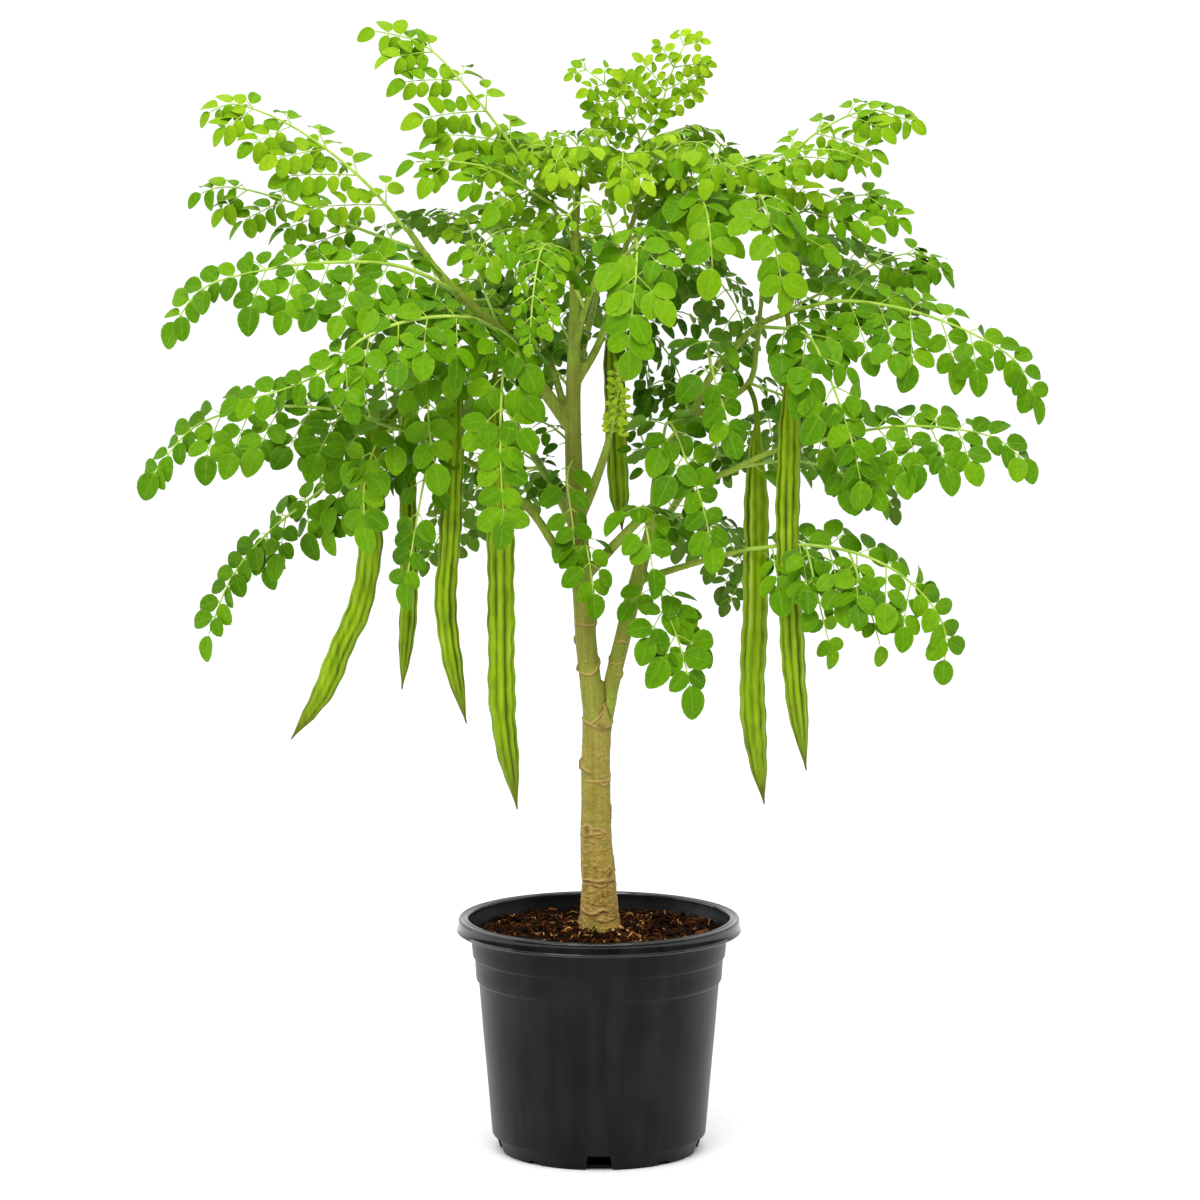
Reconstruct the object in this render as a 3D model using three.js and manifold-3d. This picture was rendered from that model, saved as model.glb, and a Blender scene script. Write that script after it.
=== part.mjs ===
// Potted moringa tree: a nursery container with its potting mix, a forked trunk with thin
// branches, seven hanging pods and long compound leaves.
// Millimetres, +Z up. The origin is the centre of the pot's underside, and -Y is the front.
import * as THREE from 'three';
import Module from 'manifold-3d';
import { mergeVertices } from 'three/addons/utils/BufferGeometryUtils.js';

const wasm = await Module();
wasm.setup();

const UP = new THREE.Vector3(0, 0, 1);
const GAP = 0.35; // clearance left round a piece that stands against another

// The container: a ten litre nursery pot. Every part of it has a height and a radius at its low
// and its high end.
const POT = {
  segments: 27,
  foot: { low: 0, high: 15, lowRadius: 100, highRadius: 104.5 },
  body: { low: 16.5, high: 173.5, lowRadius: 108, highRadius: 121.5 },
  lowerBand: { low: 175.5, high: 197.5, lowRadius: 124, highRadius: 125.5 },
  upperBand: { low: 199, high: 222, lowRadius: 127.5, highRadius: 129.4 },
  lip: { low: 223, high: 237, radius: 143, innerRadius: 131.5 },
  wall: 2.2,
  floor: 3,
};
// Drain notches through the foot. Turns are in degrees from the front.
const TALL_NOTCH = { top: 15, topWidth: 22.4, footWidth: 27.5, turns: [0, 80, -80, 160, -160] };
const LOW_NOTCH = { top: 3.2, topWidth: 13, footWidth: 14, turns: [40, -40, 120, -120] };
const NOTCH_REACH = { inner: 91, outer: 109, below: 1 };

// The potting mix: how far it lies under the rim, its radius up there, and how its surface rises
// and falls.
const MIX = { underRim: 14, radius: 127.5, edgeRound: 4, levelRing: 0.5, relief: 3.2, across: 0.13,
  deep: 0.11 };

// Every route below is read off a front view: millimetres to the right of the trunk, millimetres
// above the pot's foot as they look from the viewpoint, and the depth behind the trunk.
const VIEWPOINT = { distance: 5000, height: 1210, aim: 559, middle: 547 };

// Wood, from the trunk outwards. Each point is across, up, depth and radius.
const WOOD = [
  { name: 'trunk', sides: 9, axis: [
    [1, 124, 0, 17], [1, 190, 0, 20], [1, 219, 0, 20.5], [0, 242, 0, 18.2], [0, 257, 0, 17.4],
    [0, 262, 0, 18.8], [0, 268, 0, 17], [-1, 309, 0, 16], [-2, 315, 0, 17.6], [-1, 321, 0, 15.8],
    [-2, 374, 0, 15.2], [-2, 379, 0, 16.6], [-2, 385, 0, 15], [-1, 425, 0, 15.2], [3, 452, 0, 15] ] },
  { name: 'left stem', sides: 7, axis: [
    [0, 428, 0, 12], [-6, 458, 0, 12], [-10, 493, 0, 11], [-16, 557, 0, 11], [-20, 600, 0, 10.5],
    [-25, 677, 0, 9], [-26, 734, 0, 8], [-24, 847, 2, 6], [-24, 917, 5, 4.6], [-20, 965, 6, 3.4] ] },
  { name: 'right stem', sides: 7, axis: [
    [4, 430, 0, 10], [13, 460, 0, 9.5], [21, 493, -2, 8.8], [31, 547, 0, 8], [40, 582, 0, 6.8],
    [55, 633, -2, 5.6], [58, 670, -5, 5], [72, 705, -10, 4.6], [91, 729, -14, 4.4],
    [113, 773, -18, 4.2], [137, 801, -20, 3.8], [158, 821, -24, 3.6], [192, 836, -28, 3] ] },
  { name: 'long left branch', sides: 5, axis: [
    [-26, 716, 0, 7], [-57, 760, -10, 6.6], [-94, 811, -25, 5.8], [-139, 852, -34, 5],
    [-165, 880, -38, 4.4], [-192, 919, -40, 3.4] ] },
  { name: 'pod twig left', sides: 5, axis: [
    [-112, 829, -29, 3.4], [-140, 808, -18, 3], [-168, 780, -12, 2.8], [-186, 762, -10, 2.4] ] },
  { name: 'upright twig left', sides: 5, axis: [
    [-32, 728, 0, 4.4], [-43, 768, 16, 3.8], [-56, 806, 30, 3.2], [-72, 850, 46, 2.6] ] },
  { name: 'crown twig', sides: 5, axis: [
    [-22, 765, 2, 4.6], [0, 804, 10, 4.2], [14, 850, 16, 3.8], [28, 905, 14, 3.4],
    [44, 960, 8, 2.8], [56, 1010, 4, 2.2] ] },
  { name: 'middle twig', sides: 5, axis: [
    [-20, 628, 0, 6], [-8, 655, -10, 5.4], [3, 684, -18, 4.6], [11, 712, -24, 3.4] ] },
  { name: 'long right branch', sides: 5, axis: [
    [-14, 570, 0, 6], [8, 594, -16, 5.4], [30, 617, -26, 5], [60, 645, -36, 4.6],
    [96, 664, -42, 4.2], [129, 675, -45, 3.8], [170, 694, -46, 3.2], [206, 702, -46, 2.6] ] },
  { name: 'low left branch', sides: 5, axis: [
    [-20, 570, 0, 6], [-42, 598, -14, 5], [-68, 636, -20, 4.4], [-116, 676, -18, 3.8],
    [-160, 702, -14, 3.2], [-200, 719, -10, 2.6] ] },
  { name: 'low right branch', sides: 5, axis: [
    [38, 566, 0, 4.6], [66, 575, -8, 4], [107, 587, -20, 3.4], [150, 598, -30, 2.6] ] },
  { name: 'pod hub right', sides: 5, axis: [
    [91, 729, -14, 3.6], [122, 745, 0, 3.4], [150, 764, 8, 3.6], [158, 800, 8, 3],
    [163, 860, 4, 2.6], [166, 915, -2, 2.2] ] },
  { name: 'back branch left', sides: 5, axis: [
    [-20, 610, 2, 6], [-40, 650, 60, 4.8], [-70, 700, 125, 4], [-95, 745, 185, 3] ] },
  { name: 'back branch right', sides: 5, axis: [
    [36, 570, 2, 5], [56, 612, 60, 4.4], [88, 660, 125, 3.6], [110, 700, 180, 2.8] ] },
  { name: 'back branch high', sides: 5, axis: [
    [-25, 740, 4, 5.4], [-18, 790, 60, 4.4], [-4, 845, 120, 3.6], [6, 890, 165, 2.6] ] },
  { name: 'front twig', sides: 5, axis: [
    [-26, 790, 0, 4.4], [-14, 838, -34, 3.8], [4, 884, -72, 3], [22, 908, -104, 2.4] ] },
];

// Pods hang nearly plumb. Each point is across, up and depth, from the stalk down to the beak.
const PODS = [
  { name: 'pod_1', radius: 12, stalk: 3, axis: [
    [-183, 767, -11], [-198, 742, -14], [-216, 722, -20], [-227, 697, -24], [-231, 650, -24],
    [-229, 600, -24], [-240, 540, -24], [-258, 500, -24], [-276, 456, -24], [-307, 409, -24] ] },
  { name: 'pod_2', radius: 9, stalk: 3, axis: [
    [-170, 778, -12], [-180, 766, 4], [-191, 742, 12], [-193, 712, 14], [-191, 640, 14],
    [-190, 547, 14], [-194, 490, 14], [-197, 459, 14] ] },
  { name: 'pod_3', radius: 11, stalk: 3, axis: [
    [-139, 850, -36], [-144, 826, -42], [-144, 780, -44], [-146, 700, -44], [-150, 600, -44],
    [-154, 547, -44], [-147, 487, -44], [-133, 425, -44] ] },
  { name: 'pod_4', radius: 13.5, stalk: 3, axis: [
    [-92, 811, -26], [-98, 794, -42], [-104, 770, -50], [-104, 730, -52], [-99, 640, -52],
    [-98, 520, -52], [-96, 430, -52], [-82, 339, -52] ] },
  { name: 'pod_5', radius: 13, stalk: 3, axis: [
    [149, 762, 8], [155, 748, -4], [158, 728, -10], [157, 700, -12], [157, 620, -12],
    [156, 540, -12], [153, 450, -12], [157, 400, -12], [165, 344, -12] ] },
  { name: 'pod_6', radius: 12, stalk: 3, axis: [
    [188, 834, -28], [190, 818, -44], [191, 780, -52], [190, 700, -54], [188, 620, -54],
    [192, 520, -54], [197, 450, -54], [207, 378, -54] ] },
  { name: 'pod_7', radius: 11, stalk: 3, axis: [
    [12, 846, 16], [14, 800, 40], [16, 740, 46], [17, 700, 46], [20, 650, 46], [23, 618, 46] ] },
];
const POD_RIDGES = 9;
const POD_GROOVE = 0.84; // radius in a groove, as a share of the radius on a ridge
const LONG_POD = 380; // length from which a pod gets one more ring
const LONG_STATIONS = [0, 0.08, 0.16, 0.26, 0.46, 0.66, 0.85, 1];
const SHORT_STATIONS = [0, 0.08, 0.16, 0.26, 0.5, 0.8, 1];
// Shares of a pod's length: where it starts to swell and is full, where it starts to taper.
const POD_SHAPE = { swellFrom: 0.1, fullFrom: 0.24, taperFrom: 0.7, taperPower: 0.8, tip: 1.2 };

// The compound leaves. route runs from the branch to the tip, pairs is the number of pairs of
// side sprays, and reach is the length of the longest spray.
const FRONDS = [
  { name: 'frond_left_1', pairs: 3, reach: 66, route: [
    [-24, 905, 5], [-62, 963, -10], [-91, 1007, -22], [-127, 1053, -30], [-177, 1103, -34],
    [-239, 1119, -30] ] },
  { name: 'frond_left_2', pairs: 3, reach: 62, route: [
    [-192, 916, -40], [-232, 963, -50], [-291, 1011, -60], [-335, 1034, -62], [-369, 1043, -62],
    [-403, 1027, -60] ] },
  { name: 'frond_left_3', pairs: 2, reach: 56, route: [
    [-176, 896, -39], [-212, 908, -24], [-260, 926, 4], [-312, 946, 20], [-377, 960, 30],
    [-412, 947, 32] ] },
  { name: 'frond_left_4', pairs: 3, reach: 80, route: [
    [-139, 852, -34], [-175, 872, -70], [-211, 883, -92], [-281, 884, -105], [-335, 877, -106],
    [-398, 857, -100], [-434, 805, -95] ] },
  { name: 'frond_left_5', pairs: 3, reach: 78, route: [
    [-93, 810, -25], [-129, 829, -92], [-182, 828, -126], [-232, 811, -140], [-278, 774, -145],
    [-330, 753, -140], [-379, 742, -130] ] },
  { name: 'frond_left_6', pairs: 3, reach: 78, route: [
    [-198, 719, -10], [-255, 735, -18], [-306, 741, -24], [-362, 736, -25], [-406, 719, -25],
    [-457, 657, -20] ] },
  { name: 'frond_left_7', pairs: 3, reach: 72, route: [
    [-150, 698, -15], [-201, 694, 24], [-253, 673, 44], [-293, 645, 56], [-335, 610, 60],
    [-368, 568, 60],
    [-398, 491, 60] ] },
  { name: 'frond_left_8', pairs: 2, reach: 54, route: [
    [-24, 928, 5], [-62, 952, -34], [-108, 978, -58], [-150, 986, -70], [-200, 984, -76] ] },
  { name: 'frond_right_1', pairs: 3, reach: 70, route: [
    [28, 905, 14], [70, 935, 12], [114, 963, 4], [175, 980, -10], [223, 1018, -15], [273, 1037, -15],
    [326, 1019, -10] ] },
  { name: 'frond_right_2', pairs: 1, reach: 44, route: [
    [40, 948, 9], [110, 972, -34], [180, 992, -56], [236, 997, -66], [284, 978, -70] ] },
  { name: 'frond_right_3', pairs: 2, reach: 62, route: [
    [166, 912, -2], [196, 932, -24], [240, 948, -38], [277, 952, -42], [299, 940, -42] ] },
  { name: 'frond_right_4', pairs: 2, reach: 58, route: [
    [178, 831, -26], [214, 850, 6], [246, 866, 22], [288, 889, 32], [320, 893, 37], [355, 877, 40] ] },
  { name: 'frond_right_5', pairs: 3, reach: 80, route: [
    [190, 835, -28], [238, 846, -42], [296, 840, -52], [344, 826, -58], [382, 809, -60],
    [418, 784, -62],
    [443, 732, -62] ] },
  { name: 'frond_right_6', pairs: 3, reach: 82, route: [
    [205, 702, -46], [252, 714, -62], [307, 721, -76], [370, 716, -86], [402, 706, -88],
    [439, 671, -90] ] },
  { name: 'frond_right_7', pairs: 3, reach: 82, route: [
    [148, 598, -30], [208, 602, -62], [266, 591, -82], [310, 566, -94], [345, 520, -100],
    [343, 465, -100] ] },
  { name: 'frond_right_8', pairs: 1, reach: 40, route: [
    [140, 680, -45], [200, 686, 20], [246, 672, 50], [271, 652, 60], [292, 636, 64] ] },
  { name: 'frond_top_1', pairs: 2, reach: 66, route: [
    [55, 1006, 4], [62, 1035, 2], [70, 1068, 0], [90, 1112, -2] ] },
  { name: 'frond_top_2', pairs: 1, reach: 46, route: [
    [48, 976, 7], [37, 1020, -6], [20, 1050, -12], [-24, 1086, -14] ] },
  { name: 'frond_top_3', pairs: 2, reach: 54, route: [
    [-21, 950, 6], [-26, 1002, -40], [-38, 1010, -84], [-48, 972, -112] ] },
  { name: 'frond_top_4', pairs: 2, reach: 56, route: [
    [36, 935, 11], [26, 996, -50], [24, 1006, -100], [22, 962, -136] ] },
  { name: 'frond_top_5', pairs: 2, reach: 56, route: [
    [50, 985, 6], [84, 1018, -40], [112, 1014, -84], [134, 978, -110] ] },
  { name: 'frond_top_6', pairs: 2, reach: 60, route: [
    [-20, 960, 6], [-52, 1014, 62], [-92, 1030, 112], [-136, 996, 156] ] },
  { name: 'frond_top_7', pairs: 1, reach: 60, route: [
    [52, 992, 5], [76, 1034, 60], [108, 1034, 116], [146, 992, 166] ] },
  { name: 'frond_front_1', pairs: 1, reach: 48, route: [
    [-140, 808, -18], [-146, 818, -62], [-150, 796, -98], [-146, 748, -106] ] },
  { name: 'frond_front_2', pairs: 2, reach: 56, route: [
    [-76, 787, -18], [-92, 800, -90], [-98, 740, -124], [-98, 676, -132], [-93, 602, -132] ] },
  { name: 'frond_front_3', pairs: 2, reach: 50, route: [
    [-150, 797, -15], [-168, 776, -64], [-170, 722, -86], [-160, 660, -92] ] },
  { name: 'frond_front_4', pairs: 2, reach: 52, route: [
    [-160, 702, -14], [-212, 716, -66], [-233, 672, -84], [-234, 599, -88] ] },
  { name: 'frond_front_5', pairs: 1, reach: 46, route: [
    [-172, 707, -13], [-171, 690, -50], [-180, 640, -66], [-196, 545, -70] ] },
  { name: 'frond_front_6', pairs: 2, reach: 60, route: [
    [21, 907, -103], [36, 915, -150], [37, 872, -190], [32, 826, -204], [28, 770, -206] ] },
  { name: 'frond_front_7', pairs: 1, reach: 34, route: [
    [-25, 690, 0], [-32, 670, -34], [-26, 620, -40], [-24, 574, -36] ] },
  { name: 'frond_front_8', pairs: 1, reach: 42, route: [
    [-20, 612, 0], [-14, 606, -30], [-8, 574, -50], [-4, 532, -56] ] },
  { name: 'frond_front_9', pairs: 2, reach: 56, route: [
    [66, 575, -8], [62, 552, -44], [78, 510, -62], [88, 475, -66], [94, 436, -66] ] },
  { name: 'frond_front_10', pairs: 2, reach: 50, route: [
    [113, 773, -18], [108, 806, -70], [116, 766, -98], [126, 735, -104], [134, 692, -104] ] },
  { name: 'frond_front_11', pairs: 2, reach: 54, route: [
    [60, 677, -6], [70, 726, -60], [86, 690, -88], [104, 640, -96], [116, 580, -98] ] },
  { name: 'frond_front_12', pairs: 1, reach: 44, route: [
    [47, 634, -32], [44, 640, -78], [50, 604, -96], [56, 556, -100] ] },
  { name: 'frond_front_13', pairs: 2, reach: 58, route: [
    [158, 821, -24], [208, 812, -78], [226, 780, -98], [243, 736, -108], [256, 694, -112],
    [266, 640, -112] ] },
  { name: 'frond_front_14', pairs: 2, reach: 60, route: [
    [166, 905, -1], [160, 952, -70], [170, 930, -118], [178, 890, -132], [188, 836, -134] ] },
  { name: 'frond_front_15', pairs: 2, reach: 56, route: [
    [24, 888, 15], [80, 952, -64], [104, 946, -112], [112, 902, -136], [114, 852, -140] ] },
  { name: 'frond_front_16', pairs: 2, reach: 56, route: [
    [-14, 838, -34], [-44, 900, -110], [-58, 896, -160], [-66, 850, -192], [-70, 792, -200] ] },
  { name: 'frond_inner_1', pairs: 1, reach: 44, route: [
    [-100, 820, -24], [-118, 866, 20], [-126, 908, 44], [-136, 940, 62] ] },
  { name: 'frond_inner_2', pairs: 1, reach: 54, route: [
    [-70, 846, 45], [-96, 900, 84], [-142, 932, 128], [-204, 926, 176] ] },
  { name: 'frond_inner_3', pairs: 2, reach: 54, route: [
    [-25, 872, 3], [-62, 912, -44], [-104, 914, -84], [-136, 872, -102] ] },
  { name: 'frond_back_1', pairs: 2, reach: 70, route: [
    [-62, 822, 36], [-98, 846, 112], [-150, 858, 190], [-204, 838, 244], [-240, 780, 270] ] },
  { name: 'frond_back_2', pairs: 2, reach: 76, route: [
    [-94, 744, 184], [-136, 776, 236], [-196, 778, 276], [-256, 746, 300], [-300, 680, 306] ] },
  { name: 'frond_back_3', pairs: 2, reach: 70, route: [
    [-58, 680, 100], [-100, 672, 176], [-142, 640, 224], [-178, 574, 250] ] },
  { name: 'frond_back_4', pairs: 2, reach: 74, route: [
    [6, 888, 164], [-12, 912, 214], [-30, 890, 262], [-44, 836, 296], [-50, 770, 306] ] },
  { name: 'frond_back_5', pairs: 2, reach: 70, route: [
    [2, 870, 148], [52, 900, 200], [96, 888, 252], [134, 846, 286], [156, 786, 296] ] },
  { name: 'frond_back_6', pairs: 2, reach: 74, route: [
    [164, 880, 2], [206, 904, 70], [250, 898, 132], [292, 866, 182], [322, 810, 206] ] },
  { name: 'frond_back_7', pairs: 2, reach: 78, route: [
    [108, 698, 178], [148, 726, 226], [206, 726, 266], [262, 692, 292], [300, 628, 300] ] },
  { name: 'frond_back_8', pairs: 2, reach: 66, route: [
    [70, 634, 88], [104, 626, 160], [138, 594, 212], [162, 534, 236] ] },
];

// How a frond spreads: where its first and last side sprays stand along the stalk, how wide
// they open in radians, how much they sag, how the frond's face leans outward and rolls towards
// its open side, how much sprays shorten towards its tip, and the depth from which it opens back.
const SPREAD = {
  first: 0.26,
  last: 0.74,
  open: 1.1,
  sag: 0.36,
  outward: 0.4,
  roll: 0.8,
  shorten: 0.45,
  backFrom: 150,
};
const END_SPRAY = 0.8; // share of the stalk where the end spray starts
const SMALLEST_END = 44; // least length of an end spray
const TOUCH = 0.001; // volume in mm3 below which two solids count as clear of each other

// Triangles of a spray, counted from its left and right root corners round its outline: a leaflet
// on each side of the rib, the rib between them, and the end leaflet.
const SPRAY_FACES = [[1, 2, 3], [1, 3, 4], [0, 1, 4], [0, 4, 8], [0, 8, 9], [0, 9, 10], [8, 4, 5],
  [8, 5, 6], [8, 6, 7]];
// Half thickness of a leaflet and of a stalk, half width of a stalk and of a rib, how much a
// leaflet's edge hangs, and the clearance tried round it. All but the fold are in mm.
const BLADE = {
  half: 0.36,
  stalkHalf: 1.2,
  stalkWidth: 1.5,
  ribWidth: 0.9,
  fold: 0.12,
  clear: 0.35,
};

// Half the outline of a spray, as shares of its length: along the rib, then out from it.
const SPRAY_LOBES = [[0.16, 0.2], [0.42, 0.33], [0.47, 0.02], [0.7, 0.19]];

// Turns and openings that are tried, in this order, until a spray clears its neighbours.
const BENDS = [[0, 0], [0.25, 0], [-0.25, 0], [0, -0.25], [0.5, 0], [-0.5, 0], [0.3, -0.3],
  [-0.3, -0.3], [0.8, 0], [-0.8, 0], [0.5, -0.5], [-0.5, -0.5], [1.1, -0.2], [-1.1, -0.2]];
// Shifts in mm that are tried, in this order, until a stalk clears its neighbours.
const SHIFTS = [[0, 0, 0], [0, -8, 0], [0, 8, 0], [0, 0, 8], [0, 0, -8], [0, -16, 0], [0, 16, 0],
  [0, -16, 12], [0, 16, 12], [0, -26, 0], [0, 26, 0], [12, 0, 12], [-12, 0, 12]];

const COLOURS = {
  pot: { color: 0x2a2a2b, roughness: 0.45 },
  mix: { color: 0x3b2415, roughness: 1 },
  wood: { color: 0x9c9048, roughness: 0.75 },
  pod: { color: 0x86a524, roughness: 0.6 },
  leaf: { color: 0x5a990f, roughness: 0.55 },
};

// The place of a reading off the front view, in mm.
function seenPoint([across, up, depth]) {
  const drop = VIEWPOINT.height - VIEWPOINT.aim;
  const pitch = Math.atan2(drop, VIEWPOINT.distance);
  const reach = Math.hypot(VIEWPOINT.distance, drop);
  const slope = (up - VIEWPOINT.middle) / reach;
  const level = VIEWPOINT.distance + depth;
  const rise = level * Math.tan(Math.atan(slope) - pitch);
  const ahead = level * Math.cos(pitch) - rise * Math.sin(pitch);
  return new THREE.Vector3(across * ahead / reach, depth, VIEWPOINT.height + rise);
}

function geometryFrom(points, triangles) {
  const geometry = new THREE.BufferGeometry();
  geometry.setAttribute('position', new THREE.Float32BufferAttribute(points, 3));
  geometry.setIndex(triangles);
  return geometry;
}

function solidFrom(geometry) {
  const bare = geometry.clone();
  bare.deleteAttribute('normal');
  bare.deleteAttribute('uv');
  const merged = mergeVertices(bare, 1e-4);
  const mesh = new wasm.Mesh({
    numProp: 3,
    vertProperties: new Float32Array(merged.attributes.position.array),
    triVerts: new Uint32Array(merged.index.array),
  });
  mesh.merge();
  return new wasm.Manifold(mesh);
}

function geometryOf(solid) {
  const mesh = solid.getMesh();
  return geometryFrom(mesh.vertProperties, Array.from(mesh.triVerts));
}

function largestBody(solid) {
  const bodies = solid.decompose();
  return bodies.reduce((best, body) => (body.volume() > best.volume() ? body : best));
}

// A closed tube with one ring of vertices at each point. widths gives a radius for each ring,
// and section a share of that radius for each side.
function tube(points, widths, section) {
  const sides = section.length;
  const places = [];
  const triangles = [];
  let across = new THREE.Vector3(1, 0, 0);
  points.forEach((point, ring) => {
    const before = points[Math.max(ring - 1, 0)];
    const after = points[Math.min(ring + 1, points.length - 1)];
    const along = after.clone().sub(before).normalize();
    across = across.clone().addScaledVector(along, -across.dot(along)).normalize();
    const third = new THREE.Vector3().crossVectors(along, across);
    for (let side = 0; side < sides; side += 1) {
      const angle = 2 * Math.PI * side / sides;
      const radius = widths[ring] * section[side];
      const place = point.clone()
        .addScaledVector(across, radius * Math.cos(angle))
        .addScaledVector(third, radius * Math.sin(angle));
      places.push(place.x, place.y, place.z);
    }
  });
  for (let ring = 0; ring + 1 < points.length; ring += 1) {
    for (let side = 0; side < sides; side += 1) {
      const next = (side + 1) % sides;
      const low = ring * sides;
      const high = low + sides;
      triangles.push(low + side, low + next, high + next, low + side, high + next, high + side);
    }
  }
  const top = (points.length - 1) * sides;
  for (let side = 1; side + 1 < sides; side += 1) {
    triangles.push(0, side + 1, side, top, top + side, top + side + 1);
  }
  return geometryFrom(places, triangles);
}

// The branches as one body, grown by a clearance all round and at their ends.
function woodSolid(extra) {
  const tubes = WOOD.map(({ axis, sides }) => {
    const points = axis.map(seenPoint);
    const [last, beforeLast] = [points[points.length - 1], points[points.length - 2]];
    last.addScaledVector(last.clone().sub(beforeLast).normalize(), extra);
    const widths = axis.map((point) => point[3] + extra);
    return solidFrom(tube(points, widths, new Array(sides).fill(1)));
  });
  return tubes.reduce((whole, part) => whole.add(part));
}

function potProfile() {
  const { foot, body, lowerBand, upperBand, lip, wall, floor } = POT;
  return [
    [0, foot.low], [foot.lowRadius, foot.low], [foot.highRadius, foot.high],
    [body.lowRadius, body.low], [body.highRadius, body.high],
    [lowerBand.lowRadius, lowerBand.low], [lowerBand.highRadius, lowerBand.high],
    [upperBand.lowRadius, upperBand.low], [upperBand.highRadius, upperBand.high],
    [lip.radius, lip.low], [lip.radius, lip.high], [lip.innerRadius, lip.high],
    [upperBand.lowRadius - wall, upperBand.low], [body.highRadius - wall, lowerBand.low],
    [body.lowRadius - wall, body.low + wall], [foot.highRadius - wall, foot.high],
    [foot.lowRadius - wall, floor], [0, floor],
  ];
}

// A closed turned shape from radius and height pairs, standing upright.
function turned(profile) {
  const line = profile.map(([radius, height]) => new THREE.Vector2(radius, height));
  return new THREE.LatheGeometry([...line, line[0]], POT.segments).rotateX(Math.PI / 2);
}

function notchSolid({ top, topWidth, footWidth }, turn) {
  const outline = new THREE.Shape([
    new THREE.Vector2(-footWidth / 2, -NOTCH_REACH.below),
    new THREE.Vector2(footWidth / 2, -NOTCH_REACH.below),
    new THREE.Vector2(topWidth / 2, top),
    new THREE.Vector2(-topWidth / 2, top),
  ]);
  const depth = NOTCH_REACH.outer - NOTCH_REACH.inner;
  const wedge = new THREE.ExtrudeGeometry(outline, { depth, bevelEnabled: false });
  wedge.rotateX(Math.PI / 2);
  wedge.translate(0, -NOTCH_REACH.inner, 0);
  wedge.rotateZ(THREE.MathUtils.degToRad(turn));
  return solidFrom(wedge);
}

function potSolid() {
  let pot = solidFrom(turned(potProfile()));
  for (const notch of [TALL_NOTCH, LOW_NOTCH]) {
    for (const turn of notch.turns) {
      pot = pot.subtract(notchSolid(notch, turn));
    }
  }
  return pot;
}

function mixProfile(top) {
  const { foot, body, lowerBand, wall, floor } = POT;
  const inset = wall + GAP * 1.2;
  return [
    [0, floor + GAP], [foot.lowRadius - inset, floor + GAP], [foot.highRadius - inset, foot.high],
    [body.highRadius - inset, lowerBand.low], [MIX.radius, top - MIX.edgeRound],
    [MIX.radius - 1, top], [MIX.radius * MIX.levelRing, top], [0, top],
  ];
}

// The mix fills the pot, with a loose surface and a plain hole where the trunk stands.
function mixSolid(wood) {
  const top = POT.lip.high - MIX.underRim;
  const shape = turned(mixProfile(top));
  const place = shape.attributes.position;
  for (let index = 0; index < place.count; index += 1) {
    const x = place.getX(index);
    const y = place.getY(index);
    const z = place.getZ(index);
    if (z >= top && Math.hypot(x, y) < POT.foot.lowRadius) {
      const wave = Math.sin(x * MIX.across) * Math.cos(y * MIX.deep);
      place.setZ(index, z + MIX.relief * wave);
    }
  }
  return largestBody(solidFrom(shape).subtract(wood));
}

// Radius of a pod at a share of its length: stalk, neck, full body, beaked tip.
function podRadius(share, radius, stalk) {
  const { swellFrom, fullFrom, taperFrom, taperPower, tip } = POD_SHAPE;
  const swell = THREE.MathUtils.clamp((share - swellFrom) / (fullFrom - swellFrom), 0, 1);
  const taper = Math.min(1, (1 - share) / (1 - taperFrom)) ** taperPower;
  return Math.max(stalk * (1 - share) + tip * share, radius * swell * taper);
}

function podSolid({ radius, stalk, axis }, wood) {
  const curve = new THREE.CatmullRomCurve3(axis.map(seenPoint));
  const stations = curve.getLength() > LONG_POD ? LONG_STATIONS : SHORT_STATIONS;
  const points = stations.map((share) => curve.getPointAt(share));
  const widths = stations.map((share) => podRadius(share, radius, stalk));
  const section = [];
  for (let ridge = 0; ridge < POD_RIDGES; ridge += 1) {
    section.push(1, POD_GROOVE);
  }
  return largestBody(solidFrom(tube(points, widths, section)).subtract(wood));
}

// A closed plate over a list of corners, each with a place, a normal and half a thickness. The
// faces are triangles of corners, and a wall closes every edge that only one face has.
function plate(corners, faces, extra = 0) {
  const count = corners.length;
  const places = [];
  for (const side of [1, -1]) {
    for (const { place, normal, half } of corners) {
      const moved = place.clone().addScaledVector(normal, side * (half + extra));
      places.push(moved.x, moved.y, moved.z);
    }
  }
  const triangles = [];
  const edges = new Set();
  for (const [a, b, c] of faces) {
    triangles.push(a, b, c, count + a, count + c, count + b);
    [[a, b], [b, c], [c, a]].forEach((edge) => edges.add(edge.join()));
  }
  for (const edge of edges) {
    const [from, to] = edge.split(',').map(Number);
    if (!edges.has([to, from].join())) {
      triangles.push(to, from, count + from, to, count + from, count + to);
    }
  }
  return geometryFrom(places, triangles);
}

// The direction a frond's blade looks: up, leaning outward, rolled to the front or to the back.
function frondFace(route) {
  const base = route[0];
  const tip = route[route.length - 1];
  const outward = new THREE.Vector3(tip.x - base.x, tip.y - base.y, 0).normalize();
  const openSide = tip.y > SPREAD.backFrom ? 1 : -1;
  const face = UP.clone().addScaledVector(outward, SPREAD.outward);
  face.y += openSide * SPREAD.roll * Math.abs(outward.x);
  return face;
}

function frameAt(curve, face, share) {
  const along = curve.getTangentAt(share);
  const normal = face.clone().addScaledVector(along, -face.dot(along)).normalize();
  const left = new THREE.Vector3().crossVectors(normal, along);
  return { point: curve.getPointAt(share), along, normal, left };
}

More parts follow.
